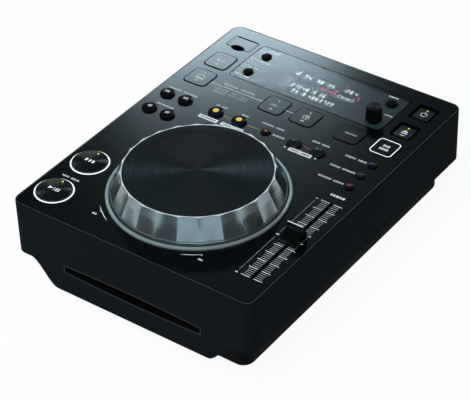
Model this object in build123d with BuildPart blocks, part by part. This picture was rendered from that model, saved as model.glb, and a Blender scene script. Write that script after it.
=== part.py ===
"""Compact tabletop disc player with a jog wheel, a tempo fader and a front loading slot.

Millimetres. +Z is up, +Y runs to the rear, +X to the player's right hand. The origin is at the
bottom centre of the whole player, its rear sockets included.
"""
import math
import os

from build123d import *

os.makedirs("parts", exist_ok=True)

# ---------------------------------------------------------------- deck layout, front to rear
jog_bezel_radius = 70.0
front_strip = 16.5        # front edge to the jog bezel
loop_row_offset = 19.7    # jog bezel to the row of loop buttons
media_row_pitch = 33.3    # loop row to the row of square media buttons
display_offset = 16.5     # media row to the display window
display_depth = 49.5
rear_strip = 14.5

# ---------------------------------------------------------------- deck layout, left to right
cue_strip = 40.85         # left edge to the jog bezel
tempo_strip = 37.65       # jog bezel to the right edge

# ---------------------------------------------------------------- heights
foot_height = 2.5
tub_height = 36.0
case_height = 46.5
deck_thickness = 2.5

# ---------------------------------------------------------------- shells
case_wall = 2.5
case_corner_radius = 9.0
deck_rim = 0.75           # thin edge of the case seen round the deck
deck_seam = 0.15
part_line = 0.2           # gap round a fitted piece
case_edge_radius = 0.5
tub_wall = 2.0
tub_side_inset = 17.25
tub_front_inset = 18.0
tub_rear_inset = 2.0
tub_corner_radius = 10.0
tub_edge_radius = 4.0
chin_drop = 20.5          # how far the front face hangs below the case
chin_half_width = 70.0
chin_flare = 24.0         # sideways run of the chin's S-curve
rear_socket_reach = 10.0  # how far the rear sockets stand out behind the case

# ---------------------------------------------------------------- clearances
button_gap = 0.3
seat_gap = 0.3
running_gap = 0.06
press_gap = 0.02

# ---------------------------------------------------------------- derived places
body_width = cue_strip + 2 * jog_bezel_radius + tempo_strip
body_depth = (front_strip + 2 * jog_bezel_radius + loop_row_offset + media_row_pitch
              + display_offset + display_depth + rear_strip)
left_x = -body_width / 2
right_x = body_width / 2
front_y = -(body_depth + rear_socket_reach) / 2
rear_y = front_y + body_depth
body_y = (front_y + rear_y) / 2
split_z = foot_height + tub_height
deck_z = split_z + case_height
under_deck_z = deck_z - deck_thickness
jog_x = left_x + cue_strip + jog_bezel_radius
jog_y = front_y + front_strip + jog_bezel_radius
loop_y = jog_y + jog_bezel_radius + loop_row_offset
media_y = loop_y + media_row_pitch
display_front_y = media_y + display_offset
display_y = display_front_y + display_depth / 2

tub_half_width = body_width / 2 - tub_side_inset
tub_front_y = front_y + tub_front_inset
tub_rear_y = rear_y - tub_rear_inset
tub_y = (tub_front_y + tub_rear_y) / 2
tub_depth = tub_rear_y - tub_front_y
tub_floor_z = foot_height + tub_wall
chin_z = split_z - chin_drop

# ---------------------------------------------------------------- disc slot and drive
slot_width = 125.0
slot_end_height = 5.0
slot_middle_height = 8.0
slot_z = split_z + 2.2
slot_bezel_wall = 1.2
slot_bezel_depth = 7.0
disc_radius = 60.0
disc_gap = 2.3            # half the clear height kept for the disc
roller_radius = 4.0
roller_waist = 0.4        # how much thinner the roller is in the middle
roller_y = tub_front_y + 14.0
roller_disc_gap = 1.0     # roller to the loaded disc's edge
spindle_y = roller_y + roller_radius + roller_disc_gap + disc_radius
drive_wall = 2.0
drive_side_room = 4.0     # beside the disc
drive_rear_room = 15.5    # behind the loaded disc, for the pickup's outermost place
drive_half_width = disc_radius + drive_side_room + drive_wall
drive_front_y = tub_front_y + tub_wall + 2.5
drive_rear_y = spindle_y + disc_radius + drive_rear_room + drive_wall
drive_depth = drive_rear_y - drive_front_y
drive_y = (drive_front_y + drive_rear_y) / 2
drive_bottom_z = 26.0
drive_floor_thickness = 1.6
drive_cover_thickness = 1.2
rib_spread = 34.0         # stiffening ribs, either side of the middle
rib_inset = 35.0
rib_length = 40.0
rib_width = 6.0
rib_height = 1.0
drive_cover_z = slot_z + 6.3
drive_floor_z = slot_z - disc_gap - 0.6
shaft_radius = 1.5

# ---------------------------------------------------------------- traverse and pickup
traverse_half_width = 38.0
traverse_thickness = 1.6
traverse_z = slot_z - 13.1
traverse_front_room = 20.0  # plate in front of the spindle
traverse_rim = 1.0        # plate behind the rods' rear blocks
traverse_side_room = 3.0  # drive floor's opening past the plate, each side
traverse_end_room = 4.0   # and in all, front and rear
lift_post_offset = 46.0
lift_post_radius = 2.0
lift_post_front = 8.0     # front pair of posts, ahead of the spindle
lift_post_rear = 50.0     # rear pair of posts, behind the spindle
lift_ear_rim = 5.0
hub_table_radius = 13.0
hub_nose_radius = 7.3
hub_neck_radius = 5.0
clamp_radius = 15.0
clamp_neck_radius = 8.0
clamp_pad_height = 3.0
clamp_flange_reach = 4.0  # how far the upper flange stands out past the neck
clamp_flange_thickness = 1.5
motor_radius = 12.0
motor_height = 12.0
motor_shaft_radius = 1.0
motor_shaft_depth = 8.0
loading_motor_radius = 8.0
loading_motor_room = 6.4  # left between the motor and the tub's wall
motor_bore_depth = 4.0
roller_half_length = 59.0
sled_inner_radius = 23.0  # lens from the spindle when the sled is at rest
sled_travel = 32.0
sled_half_width = 15.0
sled_depth = 24.0
rod_radius = 1.5
rod_spread = 11.0
rod_block = 3.0
rod_lift = 2.7            # rod axis above the plate
sled_lift = 0.5           # sled above the plate
lens_radius = 4.0
lens_height = 1.0
gear_module = 0.8
pinion_teeth = 16
pressure_angle = 20.0     # degrees
tooth_play = 0.08
rack_addendum = 0.6
rack_dedendum = 1.0
rack_back = 1.6
rack_length = 41.0
rack_height = 3.0

# ---------------------------------------------------------------- jog wheel
jog_bezel_width = 2.8
jog_groove = 1.2          # dark gap between the wheel's foot and its bezel
jog_skirt_spread = 7.5    # how much wider the wheel's foot is than its rim
jog_foot_radius = jog_bezel_radius - jog_bezel_width - jog_groove
jog_rim_radius = jog_foot_radius - jog_skirt_spread
jog_rim_height = 20.7
jog_rim_land = 3.0
jog_plate_thickness = 2.0
jog_plate_sink = 1.1
jog_flutes = 24
jog_flute_radius = 18.0
jog_skirt_lean = 11.5     # degrees from the vertical
jog_skirt_foot = 6.5      # deck to the skirt's lower end, where the foot flares out
jog_skirt_wall = 4.4
jog_flare_place = 0.26    # how far out the flare has its bend, as a share of its run
jog_flare_height = 3.7    # deck to that bend
jog_flange_height = 2.4   # deck to the foot's upper face
jog_lift = 1.0            # deck to the foot's underside
jog_flute_foot = 4.0      # deck to the flutes' lower end
jog_boss_radius = 9.0
bezel_height = 2.0
bearing_radius = 11.0
bearing_bore = 4.0
bearing_width = 7.0
jog_base_depth = 14.5
jog_base_flange = 5.5     # flange under the deck, wider than the hole by this
jog_base_wall = 2.0

# ---------------------------------------------------------------- controls
left_column_inset = 20.05
left_square_inset = 21.25
left_pair_inset = 22.2
right_column_inset = 17.65
right_square_inset = 21.55
tempo_inset = 16.95
play_inset = 27.2         # front edge to the play button
cue_pitch = 42.5          # play button to the cue button
left_column_x = left_x + left_column_inset
left_square_x = left_x + left_square_inset
left_pair_x = left_x + left_pair_inset
left_pair_pitch = 17.7
right_column_x = right_x - right_column_inset
right_square_x = right_x - right_square_inset
tempo_x = right_x - tempo_inset
cue_button_radius = 14.0
cue_button_rise = 2.0
play_y = front_y + play_inset
cue_y = play_y + cue_pitch
side_button_radius = 6.0
side_button_rise = 2.6
search_row_offset = 23.7  # loop row forward to the search buttons
loop_pair_offset = 38.6   # middle of the loop in and loop out pair, left of the jog's middle
loop_pair_pitch = 22.4
reloop_offset = 1.8
beat_pair_offset = 35.65
beat_pair_pitch = 21.5
mode_row_offset = 8.9     # loop row to the rearmost of the three small buttons
mode_row_pitch = 15.9
loop_button_radius = 6.1
reloop_radius = 3.9
beat_button_radius = 6.2
beat_button_rise = 3.4
mode_button_radius = 3.6
mode_button_rise = 1.8
media_button_width = 21.0
media_button_depth = 21.5
media_button_corner = 4.0
media_button_rise = 0.5
media_pair_offset = 1.75  # middle of the two media buttons, left of the jog's middle
media_pair_pitch = 29.7
playlist_offset = 54.6
stop_row_pitch = 28.0
window_button_inset = 11.5
window_front_row = 11.0   # display window's front edge to its front button
window_rear_row = 36.8
window_button_radius = 4.3
window_button_rise = 1.6
button_travel = 1.0
button_softness = 0.4     # rounding of a cap's top edge
button_lip = 1.3
button_lip_thickness = 1.2
button_stem_radius = 1.8
board_drop = 12.0         # deck underside to the top of the control board
board_thickness = 1.6
switch_size = 6.0
switch_height = 3.6
plunger_radius = 1.6

# ---------------------------------------------------------------- display
display_left_margin = 37.55
display_right_margin = 37.25
display_corner = 4.0
window_thickness = 1.5
window_ledge = 2.0
screen_width = 84.0
screen_depth = 36.0
screen_gap = 0.6

# ---------------------------------------------------------------- selector knob
knob_inset = 12.0         # from the display window's right edge
knob_radius = 6.2
knob_foot_radius = 7.0
knob_height = 12.5
knob_travel = 1.0
knob_ribs = 24
knob_shaft_radius = 3.0
encoder_size = 12.0
encoder_height = 6.0
knob_rib_depth = 0.45
knob_shaft_sink = 3.0     # shaft's end inside the encoder

# ---------------------------------------------------------------- wells, USB pocket and its cover
well_width = 18.5
well_depth = 20.0
well_sink = 5.0
well_wall = 1.5
well_button_width = 14.0
well_button_depth = 15.0
power_well_inset = 25.0
eject_well_inset = 53.2
well_side_inset = 20.8
power_well_y = rear_y - power_well_inset
eject_well_y = rear_y - eject_well_inset
well_x = right_x - well_side_inset
usb_x = left_square_x
usb_cover_width = 20.0
usb_cover_depth = 14.5
usb_cover_thickness = 1.5
usb_inset = 21.75
usb_y = rear_y - usb_inset
usb_pocket_sink = 9.0
usb_ledge = 1.2
finger_notch_width = 13.0
finger_notch_depth = 7.5
finger_notch_sink = 4.0
usb_pin_radius = 0.4
usb_pin_length = 1.2
usb_socket_width = 13.2
usb_socket_depth = 5.8
usb_socket_height = 9.0
usb_socket_wall = 0.4

# ---------------------------------------------------------------- tempo fader
fader_travel = 49.0
fader_offset = 9.0        # middle of the fader's travel, in front of the jog's middle
fader_y = jog_y - fader_offset
fader_slot_width = 3.0
fader_body_width = 20.0
fader_body_height = 12.0
fader_wall = 1.5
lever_width = 1.2
lever_length = 5.0
lever_shoe = 8.0
cap_width = 14.0
cap_length = 16.5
cap_height = 12.5
cap_lift = 0.8

# ---------------------------------------------------------------- feet, screws and rear sockets
foot_radius = 9.0
foot_inset = 18.0
screw_head_radius = 2.9
screw_shank_radius = 1.45
screw_length = 16.0
screw_head_height = 2.2
column_radius = 5.0
column_inset = 7.5
column_front_room = 40.0
column_middle_shift = 13.0
column_rear_room = 14.0
column_foot = 8.0         # how far the case's bosses reach above the part line
screw_drive_radius = 1.0
screw_drive_depth = 1.2
jack_radius = 4.2
jack_flange_radius = 6.0
jack_pitch = 18.0
inlet_width = 28.0
inlet_height = 20.0
socket_row_rise = 20.0
socket_row_z = foot_height + socket_row_rise
jack_side_room = 32.0     # tub's side to the outermost jack
inlet_side_room = 40.0    # tub's other side to the inlet
jack_row_x = tub_half_width - jack_side_room - 2 * jack_pitch
inlet_x = inlet_side_room - tub_half_width
drive_lug = 10.0
drive_lug_front = 36.0    # drive's front to its front lugs
drive_lug_rear = 12.0
drive_post_radius = 4.0
board_post_radius = 3.0
board_post_inset = 5.0
jack_clearance = 16.0     # rear posts in front of the boards' rear edge, clear of the jacks

# ---------------------------------------------------------------- lower boards
low_board_rise = 4.5      # tub floor to the boards
board_side_room = 16.0    # boards to the tub's sides, past the columns
boards_gap = 4.0
boards_split_x = 24.0     # right edge of the main board
processor_size = 28.0
memory_size = 12.0
chip_height = 2.4
connector_width = 24.0
connector_depth = 6.0
connector_height = 7.0
filter_radius = 3.2
transformer_width = 26.0
transformer_depth = 30.0
transformer_height = 24.0
heat_sink_thickness = 4.0
reservoir_radius = 6.0
jack_reach = tub_rear_inset + rear_socket_reach
jack_hole_radius = 1.6
jack_hole_depth = 9.0
flange_thickness = 1.5
inlet_depth = 20.0
inlet_rim = 3.2           # flange past the inlet's body, all round
inlet_well_rim = 5.5
inlet_body_width = inlet_width - 2 * inlet_rim
inlet_body_height = inlet_height - 2 * inlet_rim
inlet_well_width = inlet_width - 2 * inlet_well_rim
inlet_well_height = inlet_height - 2 * inlet_well_rim
inlet_pin_radius = 1.15
inlet_pin_spread = 4.0

display_left_x = left_x + display_left_margin
display_right_x = right_x - display_right_margin
display_width = display_right_x - display_left_x
display_x = (display_left_x + display_right_x) / 2
board_top_z = under_deck_z - board_drop
switch_top_z = board_top_z + switch_height + 1.0
window_underside_z = deck_z - window_thickness
bezel_inner_radius = jog_foot_radius + jog_groove
jog_hole_radius = bezel_inner_radius + case_wall / 2
bearing_top_z = under_deck_z - jog_base_depth + jog_base_wall
feed_lift = disc_gap * 2 - 0.3

# Round buttons that pass through the deck: name, x, y, radius, rise and crown height.
round_buttons = [
    ("play_button", left_column_x, play_y, cue_button_radius, cue_button_rise, 0.5),
    ("cue_button", left_column_x, cue_y, cue_button_radius, cue_button_rise, 0.5),
    ("reloop_button", jog_x - reloop_offset, loop_y, reloop_radius, mode_button_rise, 0.6),
]
for side, loop_name, beat_name in [(-0.5, "loop_in", "beat_shorter"), (0.5, "loop_out", "beat_longer")]:
    loop_x = jog_x - loop_pair_offset + side * loop_pair_pitch
    beat_x = jog_x + beat_pair_offset + side * beat_pair_pitch
    round_buttons.append((f"{loop_name}_button", loop_x, loop_y, loop_button_radius, side_button_rise, 0.8))
    round_buttons.append((f"{beat_name}_button", beat_x, loop_y, beat_button_radius, beat_button_rise, 2.0))
for step, mode_name in enumerate(["jog_mode", "tempo_range", "master_tempo"]):
    mode_y = loop_y + mode_row_offset - step * mode_row_pitch
    round_buttons.append((f"{mode_name}_button", right_column_x, mode_y, mode_button_radius,
                          mode_button_rise, 0.5))
for row_name, row_y in [("track", loop_y), ("search", loop_y - search_row_offset)]:
    for side, direction in enumerate(["back", "forward"]):
        pair_x = left_pair_x + (side - 0.5) * left_pair_pitch
        round_buttons.append((f"{row_name}_{direction}_button", pair_x, row_y,
                              side_button_radius, side_button_rise, 0.9))

# Round buttons that pass through the display window: name, x and y.
window_buttons = [
    ("time_button", display_left_x + window_button_inset, display_front_y + window_rear_row),
    ("auto_cue_button", display_left_x + window_button_inset, display_front_y + window_front_row),
    ("menu_button", display_right_x - knob_inset, display_front_y + window_rear_row),
]
knob_x = display_right_x - knob_inset
knob_y = display_front_y + window_front_row

# Square media buttons: name, x and y.
square_buttons = [
    ("stop_button", left_square_x, media_y + stop_row_pitch),
    ("link_button", left_square_x, media_y),
    ("usb_button", jog_x - media_pair_offset - media_pair_pitch / 2, media_y),
    ("disc_button", jog_x - media_pair_offset + media_pair_pitch / 2, media_y),
    ("playlist_button", jog_x + playlist_offset, media_y),
    ("tempo_lock_button", right_square_x, media_y),
]

# Buttons that sit down in wells: name and y.
well_buttons = [("power_button", power_well_y), ("eject_button", eject_well_y)]

through_deck = [(x, y) for _, x, y, *_ in round_buttons] + [(x, y) for _, x, y in square_buttons]
through_window = [(x, y) for _, x, y in window_buttons]
in_wells = [(well_x, y) for _, y in well_buttons]

# Six columns join the tub to the case, three along each side.
column_x = tub_half_width - column_inset
column_rows = [tub_front_y + column_front_room, tub_y + column_middle_shift, tub_rear_y - column_rear_room]
columns = [(side * column_x, y) for side in (-1, 1) for y in column_rows]

# The rear wall of the tub, seen from behind: its local x runs to the player's left.
rear_plane = Plane(origin=(0, tub_rear_y, 0), x_dir=(-1, 0, 0), z_dir=(0, 1, 0))
jack_places = [(jack_row_x + step * jack_pitch, socket_row_z) for step in range(3)]
screw_seat_z = split_z + column_foot - screw_length


def rounded_block(x, y, z, width, depth, height, radius, mode=Mode.ADD):
    """Add or cut an upright block with rounded vertical corners, standing on height z."""
    with BuildSketch(Plane.XY.offset(z)) as outline:
        with Locations((x, y)):
            RectangleRounded(width, depth, radius)
    extrude(outline.sketch, amount=height, mode=mode)


def plain_block(x, y, z, width, depth, height, mode=Mode.ADD):
    """Add or cut a square-cornered block, standing on height z."""
    with BuildSketch(Plane.XY.offset(z)) as outline:
        with Locations((x, y)):
            Rectangle(width, depth)
    extrude(outline.sketch, amount=height, mode=mode)


def post(places, z, radius, height, mode=Mode.ADD):
    """Add or cut upright round posts that stand on height z."""
    with BuildSketch(Plane.XY.offset(z)) as outline:
        with Locations(*places):
            Circle(radius)
    extrude(outline.sketch, amount=height, mode=mode)


def turned(x, y, points, mode=Mode.ADD):
    """Add or cut a solid turned about the upright axis at x and y, from radius and height pairs."""
    with BuildSketch(Plane(origin=(x, y, 0), x_dir=(1, 0, 0), z_dir=(0, -1, 0))) as section:
        with BuildLine():
            Polyline(*points, close=True)
        make_face()
    revolve(section.sketch, axis=Axis((x, y, 0), (0, 0, 1)), mode=mode)


def chin_outline(half_width, flare, top_z, bottom_z):
    """Outline of the chin on the front plane: a flat bottom with an S-curve up each side."""
    shoulder = half_width + flare
    with BuildSketch() as outline:
        with BuildLine():
            right = Bezier((shoulder, top_z), (shoulder - flare / 3, top_z),
                           (half_width + flare / 3, bottom_z), (half_width, bottom_z))
            left = Bezier((-half_width, bottom_z), (-half_width - flare / 3, bottom_z),
                          (-shoulder + flare / 3, top_z), (-shoulder, top_z))
            Line(right @ 1, left @ 0)
            Line(left @ 1, right @ 0)
        make_face()
    return outline.sketch


def slot_outline(margin):
    """Outline of the lens-shaped disc slot, larger all round by a margin."""
    half_width = slot_width / 2 + margin
    half_end = slot_end_height / 2 + margin
    half_middle = slot_middle_height / 2 + margin
    with BuildSketch() as outline:
        with BuildLine():
            top = ThreePointArc((-half_width, half_end), (0, half_middle), (half_width, half_end))
            bottom = ThreePointArc((half_width, -half_end), (0, -half_middle), (-half_width, -half_end))
            Line(top @ 1, bottom @ 0)
            Line(bottom @ 1, top @ 0)
        make_face()
    return outline.sketch


slot_plane = Plane(origin=(jog_x, front_y, slot_z), x_dir=(1, 0, 0), z_dir=(0, -1, 0))
front_plane = Plane(origin=(0, front_y, 0), x_dir=(1, 0, 0), z_dir=(0, -1, 0))

# ================================================================ casing
# Upper case: a box open at the top, whose front face hangs down as a chin with S-curved ends.
with BuildPart() as upper_case:
    rounded_block(0, body_y, split_z, body_width, body_depth, case_height, case_corner_radius)
    fillet(upper_case.edges().group_by(Axis.Z)[-1], case_edge_radius)
    with BuildSketch(front_plane):
        add(chin_outline(chin_half_width, chin_flare, split_z, chin_z))
    extrude(amount=-tub_front_inset)
    with BuildSketch(front_plane.offset(-case_wall)):
        add(chin_outline(chin_half_width - case_wall, chin_flare, split_z - case_wall, chin_z + case_wall))
    extrude(amount=-tub_front_inset, mode=Mode.SUBTRACT)
    rounded_block(0, body_y, split_z + case_wall, body_width - 2 * case_wall, body_depth - 2 * case_wall,
                  case_height, case_corner_radius - case_wall, mode=Mode.SUBTRACT)
    rounded_block(0, body_y, under_deck_z, body_width - 2 * deck_rim, body_depth - 2 * deck_rim,
                  2 * deck_thickness, case_corner_radius - deck_rim, mode=Mode.SUBTRACT)
    # The floor is open over the tub, and forward of it under the disc's path.
    rounded_block(0, tub_y, split_z, 2 * (tub_half_width - tub_wall), tub_depth - 2 * tub_wall,
                  case_wall, tub_corner_radius - tub_wall, mode=Mode.SUBTRACT)
    plain_block(jog_x, (front_y + case_wall + tub_y) / 2, split_z - 2 * case_wall, slot_width + 6,
                tub_y - front_y - case_wall, 3 * case_wall, mode=Mode.SUBTRACT)
    # Ears over the tub's columns, with a blind hole each for a case screw.
    post(columns, split_z, column_radius + 1, case_wall)
    post(columns, split_z + case_wall, column_radius - 1, column_foot)
    post(columns, split_z, screw_shank_radius, column_foot + 1, mode=Mode.SUBTRACT)
    with BuildSketch(slot_plane):
        add(slot_outline(slot_bezel_wall))
    extrude(amount=-case_wall * 1.01, mode=Mode.SUBTRACT)
upper_case.part.label = "upper_case"
export_step(upper_case.part, "parts/upper_case.step")

# Slot bezel: a flanged tube pushed into the front wall, which guides the disc in.
with BuildPart() as slot_bezel:
    with BuildSketch(slot_plane):
        add(slot_outline(slot_bezel_wall - press_gap))
    extrude(amount=-slot_bezel_depth)
    with BuildSketch(slot_plane.offset(-case_wall)):
        add(slot_outline(2 * slot_bezel_wall))
    extrude(amount=-slot_bezel_wall)
    with BuildSketch(slot_plane.offset(1)):
        add(slot_outline(0))
    extrude(amount=-slot_bezel_depth - 2, mode=Mode.SUBTRACT)
slot_bezel.part.label = "slot_bezel"
export_step(slot_bezel.part, "parts/slot_bezel.step")

# Bottom tub: a tray under the case, with columns for the case screws and posts for what it carries.
drive_lugs = [(jog_x + side * (drive_half_width + drive_lug / 2), y)
              for side in (-1, 1) for y in (drive_front_y + drive_lug_front, drive_rear_y - drive_lug_rear)]
main_board_left = -tub_half_width + board_side_room
main_board_right = boards_split_x
supply_left = main_board_right + boards_gap
supply_right = tub_half_width - board_side_room
boards_front = drive_rear_y + boards_gap
boards_rear = tub_rear_y - tub_wall - 2.0
boards_y = (boards_front + boards_rear) / 2
boards_depth = boards_rear - boards_front
board_edges = (main_board_left + board_post_inset, main_board_right - board_post_inset,
               supply_left + board_post_inset, supply_right - board_post_inset)
board_posts = [(x, y) for x in board_edges
               for y in (boards_front + board_post_inset, boards_rear - jack_clearance)]
low_board_z = tub_floor_z + low_board_rise
with BuildPart() as bottom_tub:
    rounded_block(0, tub_y, foot_height, 2 * tub_half_width, tub_depth, tub_height, tub_corner_radius)
    fillet(bottom_tub.edges().group_by(Axis.Z)[0], tub_edge_radius)
    rounded_block(0, tub_y, tub_floor_z, 2 * (tub_half_width - tub_wall), tub_depth - 2 * tub_wall,
                  tub_height, tub_corner_radius - tub_wall, mode=Mode.SUBTRACT)
    post(columns, foot_height, column_radius, tub_height)
    post(columns, foot_height, screw_shank_radius + 0.25, tub_height, mode=Mode.SUBTRACT)
    post(columns, foot_height, screw_head_radius + 0.4, screw_seat_z - foot_height, mode=Mode.SUBTRACT)
    post(drive_lugs, tub_floor_z, drive_post_radius, drive_bottom_z - tub_floor_z)
    post(board_posts, tub_floor_z, board_post_radius, low_board_z - tub_floor_z)
    # The front wall is low where the disc passes over it.
    plain_block(jog_x, tub_front_y, slot_z - disc_gap - 2, slot_width + 6, 4 * tub_wall, tub_height,
                mode=Mode.SUBTRACT)
    # Holes in the rear wall for the sockets.
    with BuildSketch(rear_plane):
        with Locations(*jack_places):
            Circle(jack_radius + 0.2)
        with Locations((inlet_x, socket_row_z)):
            Rectangle(inlet_body_width + 2 * part_line, inlet_body_height + 2 * part_line)
    extrude(amount=-2 * tub_wall, mode=Mode.SUBTRACT)
bottom_tub.part.label = "bottom_tub"
export_step(bottom_tub.part, "parts/bottom_tub.step")

with BuildPart() as rubber_feet:
    foot_x = tub_half_width - foot_inset
    foot_rows = (tub_front_y + foot_inset + 4, tub_rear_y - foot_inset - 4)
    feet = [(side * foot_x, y) for side in (-1, 1) for y in foot_rows]
    post(feet, 0, foot_radius, foot_height)
    chamfer(rubber_feet.edges().group_by(Axis.Z)[0], 0.6)
rubber_feet.part.label = "rubber_feet"
export_step(rubber_feet.part, "parts/rubber_feet.step")

with BuildPart() as case_screws:
    post(columns, screw_seat_z - screw_head_height, screw_head_radius, screw_head_height)
    post(columns, screw_seat_z, screw_shank_radius - press_gap, screw_length)
    post(columns, screw_seat_z - screw_head_height, screw_drive_radius, screw_drive_depth, mode=Mode.SUBTRACT)
case_screws.part.label = "case_screws"
export_step(case_screws.part, "parts/case_screws.step")

# ================================================================ deck
hinge_y = usb_y + usb_cover_depth / 2 - usb_cover_thickness / 2
hinge_z = deck_z - usb_cover_thickness / 2
notch_y = usb_y - usb_cover_depth / 2
usb_floor_z = deck_z - usb_pocket_sink
hanger_radius = 3.0
hanger_inset = 9.0
hanger_row_room = 14.0    # loop row to the hangers behind it
hanger_front_room = 34.0  # loop row to the hanger by the fader
hanger_row_y = loop_y + hanger_row_room
hanger_left_x = left_x + hanger_inset
hanger_right_x = right_x - hanger_inset
hanger_rear_y = rear_y - hanger_inset
board_hangers = [(hanger_left_x, hanger_rear_y), (hanger_right_x, hanger_rear_y),
                 (hanger_left_x, front_y + hanger_inset), (hanger_left_x, jog_y),
                 (hanger_right_x, loop_y - hanger_front_room), (jog_x, hanger_row_y),
                 (jog_x - jog_bezel_radius + 8, hanger_row_y), (jog_x + jog_bezel_radius, hanger_row_y)]
fader_slot_length = 2 * fader_travel + lever_length + 1

# Deck panel: one moulding with the openings for every control, two wells and the USB pocket.
with BuildPart() as deck_panel:
    rounded_block(0, body_y, under_deck_z, body_width - 2 * (deck_rim + deck_seam),
                  body_depth - 2 * (deck_rim + deck_seam), deck_thickness,
                  case_corner_radius - deck_rim - deck_seam)
    post(board_hangers, board_top_z, hanger_radius, board_drop)
    for x, y in in_wells:
        rounded_block(x, y, deck_z - well_sink - well_wall, well_width + 2 * well_wall,
                      well_depth + 2 * well_wall, well_sink + well_wall - deck_thickness, 3)
    cup_front = notch_y - finger_notch_depth / 2 - well_wall
    cup_rear = usb_y + usb_cover_depth / 2 + button_gap + well_wall
    rounded_block(usb_x, (cup_front + cup_rear) / 2, usb_floor_z - well_wall, usb_cover_width + 2 * well_wall,
                  cup_rear - cup_front, under_deck_z - usb_floor_z + well_wall, 3)
    with BuildSketch(Plane.XY.offset(under_deck_z)):
        with Locations((jog_x, jog_y)):
            Circle(jog_hole_radius)
        for _, x, y, radius, *_ in round_buttons:
            with Locations((x, y)):
                Circle(radius + button_gap)
        with Locations(*[(x, y) for _, x, y in square_buttons]):
            RectangleRounded(media_button_width + 2 * button_gap, media_button_depth + 2 * button_gap,
                             media_button_corner + button_gap)
        with Locations((display_x, display_y)):
            RectangleRounded(display_width - 2 * window_ledge, display_depth - 2 * window_ledge,
                             display_corner - window_ledge / 2)
        with Locations((tempo_x, fader_y)):
            SlotOverall(fader_slot_length, fader_slot_width, rotation=90)
    extrude(amount=deck_thickness, mode=Mode.SUBTRACT)
    rounded_block(display_x, display_y, window_underside_z, display_width + 2 * deck_seam,
                  display_depth + 2 * deck_seam, 2 * window_thickness, display_corner + deck_seam,
                  mode=Mode.SUBTRACT)
    for x, y in in_wells:
        rounded_block(x, y, deck_z - well_sink, well_width, well_depth, 2 * well_sink, 2, mode=Mode.SUBTRACT)
        rounded_block(x, y, deck_z - 2 * well_sink, well_button_width + 2 * button_gap,
                      well_button_depth + 2 * button_gap, 2 * well_sink, 2, mode=Mode.SUBTRACT)
    # The cover's recess, the pocket under it, the finger notch and the holes for the hinge pins.
    rounded_block(usb_x, usb_y, deck_z - usb_cover_thickness - seat_gap, usb_cover_width + 2 * button_gap,
                  usb_cover_depth + 2 * button_gap, 2 * usb_cover_thickness, 0.5, mode=Mode.SUBTRACT)
    rounded_block(usb_x, usb_y, usb_floor_z, usb_cover_width - 2 * usb_ledge, usb_cover_depth - 2 * usb_ledge,
                  usb_pocket_sink, 1, mode=Mode.SUBTRACT)
    plain_block(usb_x, usb_y, usb_floor_z - 2 * well_wall, usb_socket_width + 2 * part_line,
                usb_socket_depth + 2 * part_line, 3 * well_wall, mode=Mode.SUBTRACT)
    with BuildSketch(Plane.XY.offset(deck_z - finger_notch_sink)):
        with Locations((usb_x, notch_y)):
            Ellipse(finger_notch_width / 2, finger_notch_depth / 2)
    extrude(amount=2 * finger_notch_sink, mode=Mode.SUBTRACT)
    pin_span = usb_cover_width + 2 * button_gap + 2 * usb_pin_length
    with BuildSketch(Plane.YZ.offset(usb_x - pin_span / 2)):
        with Locations((hinge_y, hinge_z)):
            Circle(usb_pin_radius + running_gap)
    extrude(amount=pin_span, mode=Mode.SUBTRACT)
deck_panel.part.label = "deck_panel"
export_step(deck_panel.part, "parts/deck_panel.step")

# Display window: a clear plate let in flush, drilled for three buttons and the selector's shaft.
with BuildPart() as display_window:
    rounded_block(display_x, display_y, window_underside_z, display_width, display_depth, window_thickness,
                  display_corner)
    post(through_window, window_underside_z, window_button_radius + button_gap, window_thickness,
         mode=Mode.SUBTRACT)
    post([(knob_x, knob_y)], window_underside_z, knob_shaft_radius + button_gap, window_thickness,
         mode=Mode.SUBTRACT)
display_window.part.label = "display_window"
export_step(display_window.part, "parts/display_window.step")

# USB cover: a flap with a rounded rear edge that turns on two pins.
with BuildPart() as usb_cover:
    flap_depth = usb_cover_depth - usb_cover_thickness / 2
    plain_block(usb_x, hinge_y - flap_depth / 2, deck_z - usb_cover_thickness, usb_cover_width, flap_depth,
                usb_cover_thickness)
    with BuildSketch(Plane.YZ.offset(usb_x - usb_cover_width / 2)):
        with Locations((hinge_y, hinge_z)):
            Circle(usb_cover_thickness / 2)
    extrude(amount=usb_cover_width)
    with BuildSketch(Plane.XY.offset(deck_z - usb_cover_thickness)):
        with Locations((usb_x, notch_y)):
            Ellipse(finger_notch_width / 2, finger_notch_depth / 2)
    extrude(amount=usb_cover_thickness, mode=Mode.SUBTRACT)
    with BuildSketch(Plane.YZ.offset(usb_x - pin_span / 2 + part_line)):
        with Locations((hinge_y, hinge_z)):
            Circle(usb_pin_radius)
    extrude(amount=pin_span - 2 * part_line)
usb_cover.part.label = "usb_cover"
export_step(usb_cover.part, "parts/usb_cover.step")

# USB socket: a metal shell that stands on the control board and opens upwards in the pocket's floor.
with BuildPart() as usb_socket:
    plain_block(usb_x, usb_y, usb_floor_z - usb_socket_height, usb_socket_width, usb_socket_depth,
                usb_socket_height)
    plain_block(usb_x, usb_y, usb_floor_z - usb_socket_height + 1, usb_socket_width - 2 * usb_socket_wall,
                usb_socket_depth - 2 * usb_socket_wall, usb_socket_height, mode=Mode.SUBTRACT)
    plain_block(usb_x, usb_y + 1.0, usb_floor_z - usb_socket_height + 0.5, usb_socket_width - 2, 1.8,
                usb_socket_height - 1)
usb_socket.part.label = "usb_socket"
export_step(usb_socket.part, "parts/usb_socket.step")


# ================================================================ buttons
stem_bottom_z = switch_top_z + button_travel + seat_gap
well_button_drop = 1.0    # top of a well's button below the deck


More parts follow.
